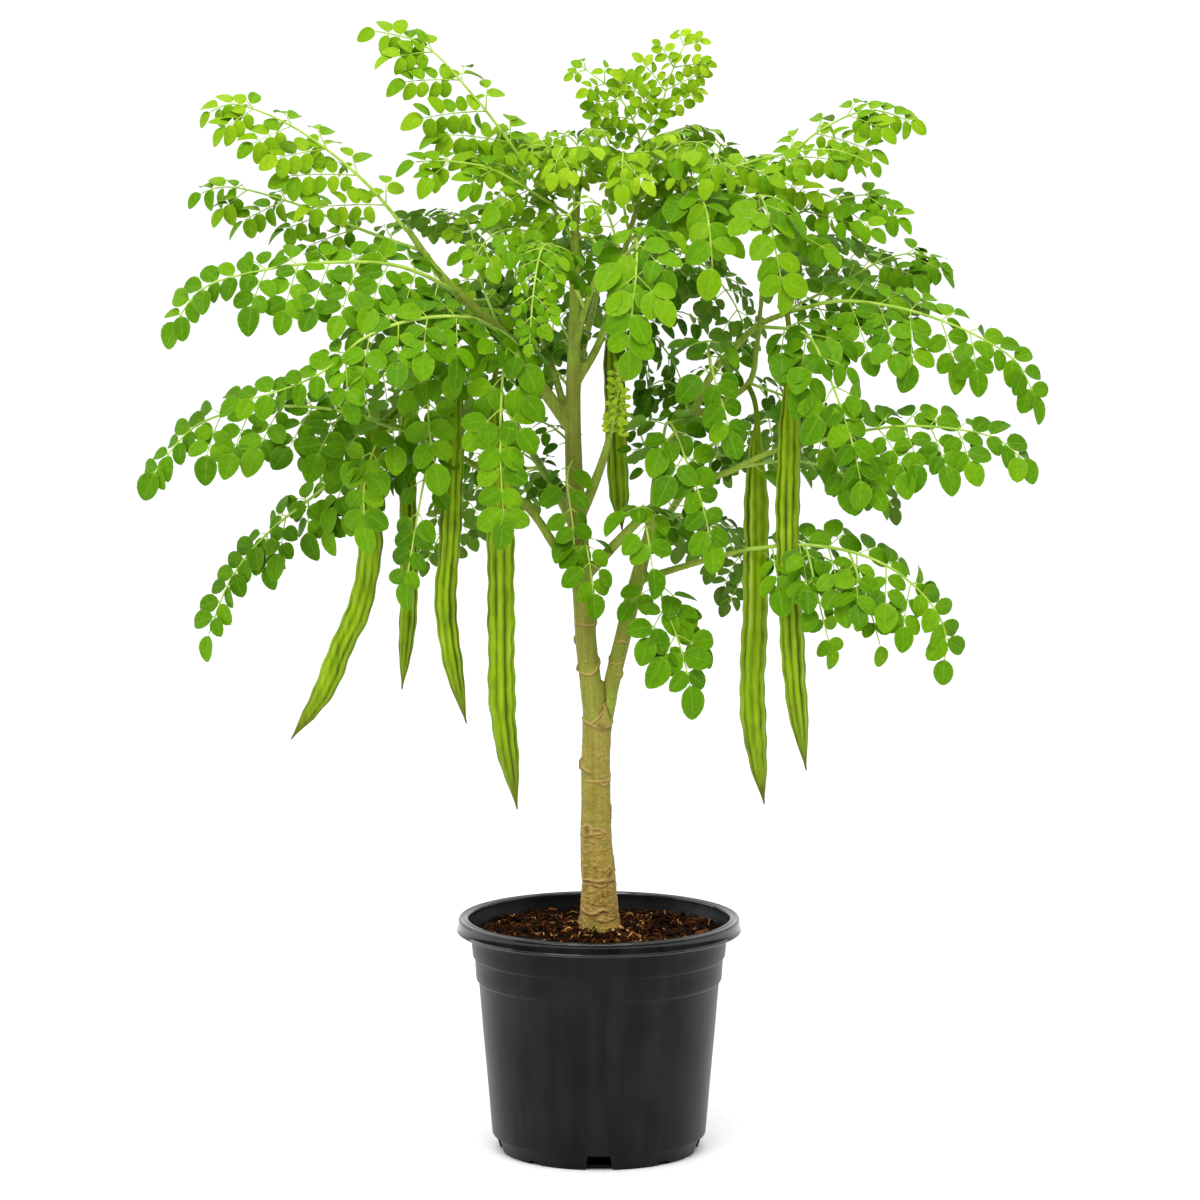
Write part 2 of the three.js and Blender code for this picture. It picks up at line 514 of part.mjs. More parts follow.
// The rib of a side spray: it leaves the stalk at an angle and sags like a thrown arc.
function sprayRib(frame, side, length, [turn, open]) {
  const angle = SPREAD.open + open;
  const out = frame.left.clone()
    .multiplyScalar(side * Math.cos(turn))
    .addScaledVector(frame.normal, Math.sin(turn));
  const start = frame.along.clone()
    .multiplyScalar(Math.cos(angle))
    .addScaledVector(out, Math.sin(angle));
  return (share) => {
    const point = frame.point.clone()
      .addScaledVector(start, length * share)
      .addScaledVector(UP, -SPREAD.sag * length * share * share);
    const along = start.clone().addScaledVector(UP, -2 * SPREAD.sag * share).normalize();
    return { point, along, normal: frame.normal };
  };
}

// The rib of the end spray is the last stretch of the stalk itself.
function endRib(curve, face) {
  return (share) => frameAt(curve, face, END_SPRAY + (1 - END_SPRAY) * share);
}

// Corners of one spray round its lobes, from the right of the rib over the tip to its left.
function lobeCorners(rib, length) {
  const corner = (along, out, side) => {
    const at = rib(along);
    const normal = at.normal.clone().addScaledVector(at.along, -at.normal.dot(at.along)).normalize();
    const across = new THREE.Vector3().crossVectors(at.along, normal);
    const place = at.point.clone()
      .addScaledVector(across, side * Math.max(out * length, BLADE.ribWidth))
      .addScaledVector(UP, -BLADE.fold * out * length);
    return { place, normal, half: BLADE.half };
  };
  const right = SPRAY_LOBES.map(([along, out]) => corner(along, out, 1));
  const left = SPRAY_LOBES.map(([along, out]) => corner(along, out, -1));
  return [...right, corner(1, 0, 0), ...left.reverse()];
}

function stalkCorner(frame, side, shift) {
  const place = frame.point.clone()
    .addScaledVector(frame.left, side * BLADE.stalkWidth)
    .addScaledVector(frame.along, shift);
  return { place, normal: frame.normal, half: BLADE.stalkHalf };
}

// Left and right root corners of a spray, as seen along its rib.
function rootCorners(frame, side) {
  const reach = side * BLADE.ribWidth;
  return [stalkCorner(frame, side, -reach), stalkCorner(frame, side, reach)];
}

function boxOf(solid) {
  const { min, max } = solid.boundingBox();
  return new THREE.Box3(new THREE.Vector3(...min), new THREE.Vector3(...max));
}

// What stands already, with its box and the name of what it belongs to.
const placed = [];

function keep(solid, owner) {
  placed.push({ solid, box: boxOf(solid), owner });
}

function isClear(solid, ignored) {
  const box = boxOf(solid);
  return placed.every((other) => {
    if (other.owner === ignored || !other.box.intersectsBox(box)) {
      return true;
    }
    return solid.intersect(other.solid).volume() < TOUCH;
  });
}

// Shares of the stalk's length at which a pair of side sprays stands.
function stationShares(frond) {
  const step = (SPREAD.last - SPREAD.first) / Math.max(frond.pairs - 1, 1);
  return Array.from({ length: frond.pairs }, (_, index) => SPREAD.first + step * index);
}

function stalkSolid(frond, { curve, face }) {
  const shares = [0, SPREAD.first / 2, ...stationShares(frond), END_SPRAY];
  const frames = shares.map((share) => frameAt(curve, face, share));
  const corners = frames.flatMap((frame) => [stalkCorner(frame, -1, 0), stalkCorner(frame, 1, 0)]);
  const faces = [];
  for (let index = 0; index + 3 < corners.length; index += 2) {
    faces.push([index, index + 2, index + 3], [index, index + 3, index + 1]);
  }
  return solidFrom(plate(corners, faces, BLADE.clear));
}

function endLobes({ curve, face }) {
  const length = Math.max(curve.getLength() * (1 - END_SPRAY), SMALLEST_END);
  return lobeCorners(endRib(curve, face), length);
}

function endRoot({ curve, face }) {
  const frame = frameAt(curve, face, END_SPRAY);
  return [stalkCorner(frame, 1, 0), stalkCorner(frame, -1, 0)];
}

function stripOwner(frond) {
  return `stalk of ${frond.name}`;
}

// The stalk keeps its route, or moves aside by a few millimetres where it would cross a neighbour.
function clearStalk(frond) {
  const start = frond.route.map(seenPoint);
  for (const shift of SHIFTS) {
    const offset = new THREE.Vector3(...shift);
    const route = start.map((point, index) => (index === 0 ? point.clone() : point.clone().add(offset)));
    const stalk = { curve: new THREE.CatmullRomCurve3(route), face: frondFace(route) };
    const strip = stalkSolid(frond, stalk).subtract(roomForWood);
    const end = solidFrom(plate([...endRoot(stalk), ...endLobes(stalk)], SPRAY_FACES, BLADE.clear));
    const whole = strip.decompose().length === 1;
    if (whole && isClear(strip) && isClear(end)) {
      keep(strip, stripOwner(frond));
      keep(end, frond.name);
      return stalk;
    }
  }
  throw new Error(`no clear route for ${frond.name}`);
}

// The lobes of a side spray in the first bend that is clear, or none.
function clearLobes(frond, frame, side, length) {
  const root = rootCorners(frame, side);
  for (const bend of BENDS) {
    const lobes = lobeCorners(sprayRib(frame, side, length, bend), length);
    const solid = solidFrom(plate([...root, ...lobes], SPRAY_FACES, BLADE.clear));
    if (isClear(solid, stripOwner(frond))) {
      keep(solid, frond.name);
      return lobes;
    }
  }
  return null;
}

// A whole frond as one plate: the stalk's strip, a pair of sprays at each station, the end spray.
function frondGeometry(frond, { curve, face }) {
  const corners = [];
  const faces = [];
  const add = (corner) => corners.push(corner) - 1;
  const cross = (frame, shift) => [1, -1].map((side) => add(stalkCorner(frame, side, shift)));
  const bridge = (from, to) => faces.push([from[1], to[1], to[0]], [from[1], to[0], from[0]]);
  const grow = (root, lobes) => {
    const ids = [...root, ...lobes.map(add)];
    faces.push(...SPRAY_FACES.map((triangle) => triangle.map((index) => ids[index])));
  };
  const base = cross(frameAt(curve, face, 0), 0);
  const middle = cross(frameAt(curve, face, SPREAD.first / 2), 0);
  bridge(base, middle);
  let ends = middle;
  for (const share of stationShares(frond)) {
    const frame = frameAt(curve, face, share);
    const near = cross(frame, -BLADE.ribWidth);
    const far = cross(frame, BLADE.ribWidth);
    bridge(ends, near);
    bridge(near, far);
    ends = far;
    const length = frond.reach * (1 - SPREAD.shorten * share);
    for (const [side, root] of [[1, [near[0], far[0]]], [-1, [far[1], near[1]]]]) {
      const lobes = clearLobes(frond, frame, side, length);
      if (lobes) {
        grow(root, lobes);
      }
    }
  }
  const last = endRoot({ curve, face }).map(add);
  bridge(ends, last);
  grow(last, endLobes({ curve, face }));
  return plate(corners, faces);
}

function meshFrom(name, geometry, look) {
  const material = new THREE.MeshStandardMaterial({ ...look, metalness: 0 });
  const mesh = new THREE.Mesh(geometry, material);
  mesh.name = name;
  return mesh;
}

const tree = new THREE.Group();
const wood = woodSolid(0);
const roomForWood = woodSolid(GAP);

tree.add(meshFrom('pot', geometryOf(potSolid()), COLOURS.pot));
tree.add(meshFrom('potting_mix', geometryOf(mixSolid(roomForWood)), COLOURS.mix));
tree.add(meshFrom('trunk_and_branches', geometryOf(wood), COLOURS.wood));
keep(wood, 'wood');

for (const pod of PODS) {
  const solid = podSolid(pod, roomForWood);
  keep(solid, pod.name);
  tree.add(meshFrom(pod.name, geometryOf(solid), COLOURS.pod));
}

// Every stalk finds its place before any side spray does.
const stalks = FRONDS.map(clearStalk);
FRONDS.forEach((frond, index) => {
  const solid = solidFrom(frondGeometry(frond, stalks[index])).subtract(roomForWood);
  tree.add(meshFrom(frond.name, geometryOf(largestBody(solid)), COLOURS.leaf));
});

export default tree;
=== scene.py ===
# %% [markdown]
# # A potted moringa tree
# A young moringa stands in a black ten litre nursery container. The imported model already holds every
# pot, pod and frond at its real size. This lesson gives each of them the form and the finish that the
# eye looks for: rounded leaflets by the thousand, ribbed pods, jointed bark, satin plastic and loose coir.
# The first step loads that model.

# %% Load the frame
import math

import bmesh
import bpy
import numpy as np
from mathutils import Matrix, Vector, kdtree, noise


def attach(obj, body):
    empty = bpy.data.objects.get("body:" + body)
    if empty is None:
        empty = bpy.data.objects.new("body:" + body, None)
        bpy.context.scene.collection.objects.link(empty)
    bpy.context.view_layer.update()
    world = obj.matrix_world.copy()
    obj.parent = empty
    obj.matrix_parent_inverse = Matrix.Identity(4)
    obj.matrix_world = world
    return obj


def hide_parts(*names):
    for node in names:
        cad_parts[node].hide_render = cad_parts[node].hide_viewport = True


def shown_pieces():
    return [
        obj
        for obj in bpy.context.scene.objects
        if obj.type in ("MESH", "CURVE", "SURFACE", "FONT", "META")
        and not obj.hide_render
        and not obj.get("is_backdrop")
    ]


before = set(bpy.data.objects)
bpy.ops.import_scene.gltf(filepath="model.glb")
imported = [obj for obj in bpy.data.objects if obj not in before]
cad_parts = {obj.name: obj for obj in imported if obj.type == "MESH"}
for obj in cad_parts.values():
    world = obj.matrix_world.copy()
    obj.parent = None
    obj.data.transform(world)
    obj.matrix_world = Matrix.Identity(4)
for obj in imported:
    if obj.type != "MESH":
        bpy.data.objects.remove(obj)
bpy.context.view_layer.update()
print("nodes in the frame:", len(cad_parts))

# %% [markdown]
# Colours are picked as sRGB hex values, because that is how a paint chart or a screen gives them.
# Shaders calculate in linear light, so one function turns the one into the other. One more function
# adds a shader node with its settings and links, which keeps each finish short enough to read at once.
# A pattern's scale counts repeats in a metre, so it is worked out as one metre over the pattern's real
# size in millimetres.

# %% Colours and nodes
METRE = 1000.0  # in mm


def linear(hex_colour):
    """The linear colour of an sRGB hex value such as #5a990f."""
    parts = [int(hex_colour[start:start + 2], 16) / 255 for start in (1, 3, 5)]
    return [p / 12.92 if p <= 0.04045 else ((p + 0.055) / 1.055) ** 2.4 for p in parts] + [1.0]


def add_node(tree, kind, inputs=None, stops=None, **settings):
    """Adds a node. inputs maps a socket's name or number to a value or to the socket it links to."""
    node = tree.nodes.new(kind)
    for name, value in settings.items():
        setattr(node, name, value)
    for name, value in (inputs or {}).items():
        if isinstance(value, bpy.types.NodeSocket):
            tree.links.new(value, node.inputs[name])
        else:
            node.inputs[name].default_value = value
    for place, (position, colour) in enumerate(stops or []):
        ramp = node.color_ramp.elements  # a new ramp has two stops already
        stop = ramp[place] if place < 2 else ramp.new(position)
        stop.position, stop.color = position, linear(colour)
    return node


def new_material(name):
    """An empty node material and its tree."""
    material = bpy.data.materials.new(name)
    material.use_nodes = True
    material.node_tree.nodes.clear()
    return material, material.node_tree


print("mid leaf green in linear light:", [round(c, 3) for c in linear("#5a990f")])

# %% [markdown]
# The camera stands five metres away and a little above the crown, and looks down seven degrees, as a
# catalogue photographer would with a long lens. A short lens close by would show the crown from below
# and spread the pot's sides, while a long one keeps them nearly parallel. The focal length follows from
# how many pixels one radian of view covers in the picture.

# %% The camera
IMAGE_SIDE = 1200  # pixels across the picture
PIXELS_PER_RADIAN = 5042
SENSOR = 36  # mm
EYE = Vector((0.001, -5.0, 1.21))
AIM = Vector((0.001, 0.0, 0.559))


def add_object(name, data):
    """A new object in the scene."""
    made = bpy.data.objects.new(name, data)
    bpy.context.scene.collection.objects.link(made)
    return made


lens = bpy.data.cameras.new("catalogue_lens")
lens.sensor_width = SENSOR
lens.lens = SENSOR * PIXELS_PER_RADIAN / IMAGE_SIDE
camera = add_object("catalogue_camera", lens)
camera.location = EYE
camera.rotation_euler = (AIM - EYE).to_track_quat("-Z", "Y").to_euler()
bpy.context.scene.camera = camera
bpy.context.scene.view_settings.view_transform = "Standard"
print("focal length in mm:", round(lens.lens, 1))

# %% [markdown]
# The set is a plain pale floor, painted matt white. A roller leaves a fine speckle in such paint, about
# a millimetre across. The floor is so large that its edge never shows, and it lies a hair below the
# pot's foot, so that the two faces don't flicker through each other.

# %% The studio floor
SPECKLE = 1.11  # mm
floor_paint, tree = new_material("floor_matt_white_paint")
speckle = add_node(tree, "ShaderNodeTexNoise", {"Scale": METRE / SPECKLE, "Detail": 3.0})
shade = add_node(tree, "ShaderNodeMapRange", {
    "Value": speckle.outputs["Fac"], "To Min": 0.93, "To Max": 0.96})
bsdf = add_node(tree, "ShaderNodeBsdfPrincipled", {
    "Base Color": add_node(tree, "ShaderNodeCombineColor", {
        0: shade.outputs[0], 1: shade.outputs[0], 2: shade.outputs[0]}).outputs[0],
    "Roughness": 0.9, "IOR": 1.5})
add_node(tree, "ShaderNodeOutputMaterial", {"Surface": bsdf.outputs[0]})

FLOOR_SIDE, FLOOR_DROP = 60.0, 0.0004  # metres
half = FLOOR_SIDE / 2
floor_mesh = bpy.data.meshes.new("studio_floor")
floor_mesh.from_pydata(
    [(-half, -half, 0), (half, -half, 0), (half, half, 0), (-half, half, 0)], [], [(0, 1, 2, 3)])
floor_mesh.materials.append(floor_paint)
floor = add_object("studio_floor", floor_mesh)
floor.location.z = -FLOOR_DROP
floor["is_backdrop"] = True
print("floor side in metres:", FLOOR_SIDE)

# %% [markdown]
# The light is soft studio light. The sky is bright overhead and behind the tree, where it lights the
# crown and the floor, and dim in front and at the sides, as a sky that is bright all round would turn
# the black pot grey. A soft box at the upper left gives the leaves a lit and a shaded side. A long
# narrow strip high in front lights them too, and draws thin bright lines on the pot's lip. Two tall
# weak strips mark the pot's sides. Small lamps would be simpler, but they cast hard leaf shadows.

# %% Sky and soft boxes
world = bpy.data.worlds.new("studio_sky")
world.use_nodes = True
tree = world.node_tree
heading = add_node(tree, "ShaderNodeSeparateXYZ", {
    0: add_node(tree, "ShaderNodeTexCoord").outputs["Generated"]}).outputs
sweep = add_node(tree, "ShaderNodeMapRange", {
    "Value": heading["Y"], "From Min": 0.25, "From Max": 0.95, "To Min": 0.14, "To Max": 1.15},
    interpolation_type="SMOOTHSTEP")
overhead = add_node(tree, "ShaderNodeMapRange", {
    "Value": heading["Z"], "From Min": 0.25, "From Max": 0.7}, interpolation_type="SMOOTHSTEP")
glow = add_node(tree, "ShaderNodeMix", {
    0: overhead.outputs[0], 2: sweep.outputs[0], 3: 1.42})
tree.links.new(glow.outputs[0], tree.nodes["Background"].inputs["Strength"])
tree.nodes["Background"].inputs["Color"].default_value = linear("#ffffff")
bpy.context.scene.world = world

LIGHT_AIM = Vector((0, 0, 0.6))
# Each light: name, place and size in metres, watts.
SOFT_BOXES = [
    ("key_box", (-2.2, -3.4, 3.4), (2.2, 2.2), 28),
    ("lip_strip", (0.0, -2.6, 3.7), (3.2, 0.3), 92),
    ("left_strip", (-2.4, 0.4, 0.9), (0.5, 2.4), 10),
    ("right_strip", (2.4, 0.4, 0.9), (0.5, 2.4), 5),
]
for name, place, size, watts in SOFT_BOXES:
    lamp = bpy.data.lights.new(name, "AREA")
    lamp.shape, lamp.size, lamp.size_y, lamp.energy = "RECTANGLE", *size, watts
    box = add_object(name, lamp)
    box.location = place
    box.rotation_euler = (LIGHT_AIM - box.location).to_track_quat("-Z", "Z").to_euler()
print("lights:", [name for name, *_ in SOFT_BOXES])

# %% [markdown]
# Every stem, pod and leaf stalk follows a route of a few points, read off a front view: how far to the
# right of the trunk, how far above the pot's foot it looks, and how deep it lies behind the trunk. The
# view is the camera's own, so one function turns a reading into a place. A smooth curve then runs
# through the points. Each of its spans is weighted by the square root of its length, because the curve
# then passes through every point without loops, also where points stand close together.

# %% Readings, places and smooth lines
VIEW_MIDDLE = 547  # the reading's height at the middle of the view, in mm


def read_place(across, up, depth):
    """A place in mm from a reading off the front view."""
    eye_height, aim_height, distance = EYE.z * METRE, AIM.z * METRE, -EYE.y * METRE
    pitch = math.atan2(eye_height - aim_height, distance)
    reach = math.hypot(eye_height - aim_height, distance)
    level = distance + depth
    rise = level * math.tan(math.atan((up - VIEW_MIDDLE) / reach) - pitch)
    ahead = level * math.cos(pitch) - rise * math.sin(pitch)
    return np.array([across * ahead / reach, depth, eye_height + rise])


def smooth_line(points, per_span=24):
    """Samples of the smooth line through the points, and the length up to each sample."""
    points = np.asarray(points, float)
    posts = np.vstack([2 * points[0] - points[1], points, 2 * points[-1] - points[-2]])
    t = np.linspace(0, 1, per_span, endpoint=False)[:, None]
    spans = []
    for a, b, c, d in zip(posts, posts[1:], posts[2:], posts[3:]):
        ab, bc, cd = (max(np.linalg.norm(q - p), 1e-3) ** 0.5 for p, q in ((a, b), (b, c), (c, d)))
        leave = ((b - a) / ab - (c - a) / (ab + bc) + (c - b) / bc) * bc
        arrive = ((c - b) / bc - (d - b) / (bc + cd) + (d - c) / cd) * bc
        spans.append((2 * t**3 - 3 * t**2 + 1) * b + (t**3 - 2 * t**2 + t) * leave
                     + (3 * t**2 - 2 * t**3) * c + (t**3 - t**2) * arrive)
    line = np.vstack(spans + [points[-1:]])
    steps = np.linalg.norm(np.diff(line, axis=0), axis=1)
    return line, np.concatenate([[0], np.cumsum(steps)])


def place_on(line, share):
    """Places at shares of a smooth line's length."""
    samples, lengths = line
    wanted = np.asarray(share) * lengths[-1]
    return np.stack([np.interp(wanted, lengths, samples[:, axis]) for axis in range(3)], -1)


def unit(vectors):
    """The vectors at a length of one."""
    return vectors / np.linalg.norm(vectors, axis=-1, keepdims=True)


print("reading 0, 0, 0 stands at", read_place(0, 0, 0).round(1))

# %% [markdown]
# Stems, stalks and pods are all tubes. A bevelled curve would make them too, but it gives every ring
# the same outline. Here a tube is a row of rings that turns with its line and never twists, with any
# outline that a ring needs, closed by a point at either end, so that each piece is a solid.
# Another helper hangs a finished mesh on the tree's body, says which node it replaces, and keeps the
# marks, such as a leaflet's tone, that its finish will read.

# %% Tubes and pieces
def faces_of_rings(rings, sides):
    """Faces of a closed row of rings. A point for either end comes after the points of the rings."""
    ring, step = np.arange(rings - 1)[:, None] * sides, np.arange(sides)
    after = (step + 1) % sides
    quads = np.stack([ring + step, ring + after, ring + sides + after, ring + sides + step], -1)
    last, base = (rings - 1) * sides, rings * sides
    corners = list(zip(step.tolist(), after.tolist()))
    faces = quads.reshape(-1, 4).tolist() + [(base, b, a) for a, b in corners]
    return faces + [(base + 1, last + a, last + b) for a, b in corners]


def tube(points, radii, sides, tips=(0.3, 0.6), section=None):
    """Points and faces of a closed tube. section gives each ring a radius for every side."""
    heading = unit(np.gradient(points, axis=0))
    across = np.empty_like(points)
    side = np.array([1.0, 0.02, 0.03]) if abs(heading[0][0]) < 0.9 else np.array([0.02, 1.0, 0.03])
    for ring, along in enumerate(heading):
        side = unit(side - along * side.dot(along))
        across[ring] = side
    third = np.cross(heading, across)
    turn = 2 * math.pi * np.arange(sides) / sides
    around = across[:, None] * np.cos(turn)[:, None] + third[:, None] * np.sin(turn)[:, None]
    spread = np.asarray(radii)[:, None] * (np.ones((len(points), sides)) if section is None else section)
    shape = points[:, None] + around * spread[..., None]
    base = points[0] - heading[0] * radii[0] * tips[0]
    tip = points[-1] + heading[-1] * radii[-1] * tips[1]
    return np.vstack([shape.reshape(-1, 3), base, tip]), faces_of_rings(len(points), sides)


def new_mesh(name, points, faces):
    """A mesh from points in mm."""
    mesh = bpy.data.meshes.new(name)
    mesh.from_pydata((np.asarray(points) / METRE).tolist(), [], faces)
    return mesh


def add_piece(name, points, faces, materials, slot, replaced=(), marks=None, face_marks=None,
              face_materials=None, sharp=None):
    """A smooth mesh piece from points in mm, riding on the tree's body."""
    mesh = new_mesh(name, points, faces)
    for material in materials:
        mesh.materials.append(material)
    mesh.polygons.foreach_set("use_smooth", np.ones(len(mesh.polygons), bool))
    if face_materials is not None:
        mesh.polygons.foreach_set("material_index", np.asarray(face_materials, np.int32))
    for mark, values in (marks or {}).items():
        kind = "FLOAT_VECTOR" if np.ndim(values) == 2 else "FLOAT"
        field = "vector" if np.ndim(values) == 2 else "value"
        store = mesh.attributes.new(mark, kind, "POINT")
        store.data.foreach_set(field, np.asarray(values, np.float32).ravel())
    for mark, values in (face_marks or {}).items():
        store = mesh.attributes.new(mark, "FLOAT", "FACE")
        store.data.foreach_set("value", np.asarray(values, np.float32))
    if sharp is not None:
        ends = np.empty(len(mesh.edges) * 2, np.int32)
        mesh.edges.foreach_get("vertices", ends)
        rim = np.asarray(sharp)[ends.reshape(-1, 2)].all(axis=1)
        mesh.attributes.new("sharp_edge", "BOOLEAN", "EDGE").data.foreach_set("value", rim)
    piece = add_object(name, mesh)
    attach(piece, "root")
    if replaced:
        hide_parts(*replaced)
    return piece


# %% [markdown]
# A nursery container is injection moulded from black polypropylene, which has an IOR of 1.49. Its wall
# leaves the mould satin, and a fine, slightly uneven grain breaks up the light on it. Stacking and
# lifting burnish the lip, so it is smoother and draws light as thin lines. A second material could do
# that, but one finish that finds the lip by its height and its distance from the middle has no seam.
# The grain is real at about 0.3 mm and too fine to show, so it is drawn at 2 mm. Faint dust from the
# potting bench lightens the plastic in patches and tall streaks. Its specular level is set low, because
# so large a sky would veil black plastic in grey.

# %% Moulded black polypropylene
GRAIN, DUST_PATCH = 2.0, 45.5  # mm
STREAK = (16.7, 16.7, 333)  # mm: two ways across and up
LIP_LEVEL, LIP_REACH = (221.5, 222.8), (131.0, 131.6)  # mm: the height and radius where the lip begins

pot_plastic, tree = new_material("moulded_black_polypropylene")
place = add_node(tree, "ShaderNodeTexCoord").outputs["Object"]
grain = add_node(tree, "ShaderNodeTexNoise", {"Vector": place, "Scale": METRE / GRAIN, "Detail": 3.0})
patches = add_node(tree, "ShaderNodeTexNoise", {
    "Vector": place, "Scale": METRE / DUST_PATCH, "Detail": 5.0})
tall = add_node(tree, "ShaderNodeMapping", {"Vector": place, "Scale": [METRE / size for size in STREAK]})
streaks = add_node(tree, "ShaderNodeTexNoise", {"Vector": tall.outputs[0], "Scale": 1.0})
dust = add_node(tree, "ShaderNodeMath", {0: patches.outputs["Fac"], 1: streaks.outputs["Fac"]},
                operation="MULTIPLY")
tint = add_node(tree, "ShaderNodeValToRGB", {"Fac": dust.outputs[0]},
                stops=[(0.16, "#030304"), (0.42, "#17181a")])
satin = add_node(tree, "ShaderNodeMapRange", {
    "Value": patches.outputs["Fac"], "To Min": 0.3, "To Max": 0.44})
level = add_node(tree, "ShaderNodeSeparateXYZ", {0: place}).outputs["Z"]
high = add_node(tree, "ShaderNodeMapRange", {
    "Value": level, "From Min": LIP_LEVEL[0] / METRE, "From Max": LIP_LEVEL[1] / METRE})
flat = add_node(tree, "ShaderNodeVectorMath", {0: place, 1: (1.0, 1.0, 0.0)}, operation="MULTIPLY")
reach = add_node(tree, "ShaderNodeVectorMath", {0: flat.outputs[0]}, operation="LENGTH").outputs["Value"]
outer = add_node(tree, "ShaderNodeMapRange", {
    "Value": reach, "From Min": LIP_REACH[0] / METRE, "From Max": LIP_REACH[1] / METRE})
on_lip = add_node(tree, "ShaderNodeMath", {0: high.outputs[0], 1: outer.outputs[0]}, operation="MULTIPLY")
roughness = add_node(tree, "ShaderNodeMix", {0: on_lip.outputs[0], 2: satin.outputs[0], 3: 0.08})
shine = add_node(tree, "ShaderNodeMix", {0: on_lip.outputs[0], 2: 0.15, 3: 0.55})
bump = add_node(tree, "ShaderNodeBump", {
    "Height": grain.outputs["Fac"], "Strength": 0.08, "Distance": 0.0004})
bsdf = add_node(tree, "ShaderNodeBsdfPrincipled", {
    "Base Color": tint.outputs[0], "Roughness": roughness.outputs[0], "Normal": bump.outputs[0],
    "IOR": 1.49, "Specular IOR Level": shine.outputs[0]})
add_node(tree, "ShaderNodeOutputMaterial", {"Surface": bsdf.outputs[0]})
print("streaks per metre:", [round(METRE / size) for size in STREAK])

# %% [markdown]
# The container is round, so its wall is one outline turned about the axis. The outline carries what the
# mould gave it: a stepped foot, a body that widens upward so that pots nest, two bands that stiffen the
# mouth, and a lip to lift it by. The lip has a bead along its lower edge, a flat face, and two thin beads
# with a groove between them on top. Corners are rounded in the outline itself, which costs fewer faces
# than a bevel all round.

# %% The container
POT_SIDES = 180
POT_OUTLINE = [  # radius and height in mm, outside from the foot up, then down the inside
    (0, 0), (60, 0), (98.6, 0), (99.8, 0.5), (100.3, 1.5), (104.2, 14.2), (104.8, 15.2), (106.4, 15.6),
    (107.6, 16.2), (108.1, 17.6), (112.4, 68), (116.9, 119), (121.2, 171.5), (121.8, 173),
    (123.3, 174.2), (123.9, 175.6), (124.6, 186), (125.2, 196.2), (125.7, 197.4), (127, 198.2),
    (127.5, 199.6), (128.4, 210), (129.2, 221), (130, 222.6), (132, 223), (140.8, 223), (142.4, 223.1),
    (143.3, 223.5), (143.8, 224.3), (143.8, 225.2), (143.2, 226), (142.9, 226.8), (142.4, 230.2),
    (141.9, 233.6), (141.9, 234.8), (141.5, 236), (140.7, 236.8), (139.7, 237), (138.7, 236.6),
    (137.9, 235.9), (136.4, 235.5), (134.9, 235.8), (134.2, 236.5), (133.3, 237), (132.3, 236.8),
    (131.7, 236), (131.4, 234.6), (130.8, 228), (127.6, 222.4), (126.4, 210), (125.2, 199),
    (122.8, 191.6), (121.6, 177), (119.2, 173.6), (112.2, 90), (105.9, 19), (102.4, 15.4),
    (98, 4), (97, 3), (50, 3), (0, 3)]


def turned(outline, sides):
    """Points and faces of an outline turned about the Z axis. Its two ends lie on the axis."""
    rings = np.array(outline[1:-1], float)
    turn = 2 * math.pi * np.arange(sides) / sides
    shape = np.stack([rings[:, :1] * np.sin(turn), -rings[:, :1] * np.cos(turn),
                      np.repeat(rings[:, 1:], sides, 1)], -1)
    points = np.vstack([shape.reshape(-1, 3), [0, 0, outline[0][1]], [0, 0, outline[-1][1]]])
    return points, faces_of_rings(len(rings), sides)


pot = add_piece("nursery_container", *turned(POT_OUTLINE, POT_SIDES), [pot_plastic], "nursery_pot",
                replaced=["pot"])
print("points of the outline:", len(POT_OUTLINE))

# %% [markdown]
# Nine notches let water out under the foot. Their sides are flat, so they can't be turned with the wall.
# Modelling them into its mesh by hand would take many loose cuts. Nine tapered blocks are set round the
# foot instead, and one boolean cuts them all away.

# %% Drain notches
# Each notch: turn from the front in degrees, height, width at the top and at the foot.
DRAIN_NOTCHES = ([(turn, 15, 22.4, 27.5) for turn in (0, 80, -80, 160, -160)]
                 + [(turn, 3.2, 13, 14) for turn in (40, -40, 120, -120)])
NOTCH_REACH = (91, 112)  # radii in mm that each notch is cut between
WEDGE_FACES = ((3, 2, 1, 0), (5, 6, 7, 4), (1, 5, 4, 0), (2, 6, 5, 1), (3, 7, 6, 2), (0, 4, 7, 3))
SHARPEST_BEND = 40  # degrees that shade as smooth plastic


def shifted(faces, count):
    """The faces, for points that come after a count of others."""
    return [[count + corner for corner in face] for face in faces]


wedge_points, wedge_faces = [], []
for turn, height, top_width, foot_width in DRAIN_NOTCHES:
    sine, cosine = math.sin(math.radians(turn)), math.cos(math.radians(turn))
    start = len(wedge_points)
    for radius in NOTCH_REACH:
        for side, level in ((-foot_width, -1), (foot_width, -1), (top_width, height), (-top_width, height)):
            x, y = side / 2, -radius
            wedge_points.append((x * cosine - y * sine, x * sine + y * cosine, level))
    wedge_faces += shifted(WEDGE_FACES, start)
cutter = add_object("notch_cutter", new_mesh("notch_cutter", wedge_points, wedge_faces))


def apply_modifiers(piece):
    """Turns a piece's modifiers into its mesh."""
    graph = bpy.context.evaluated_depsgraph_get()
    made = bpy.data.meshes.new_from_object(piece.evaluated_get(graph), depsgraph=graph)
    piece.modifiers.clear()
    piece.data = made


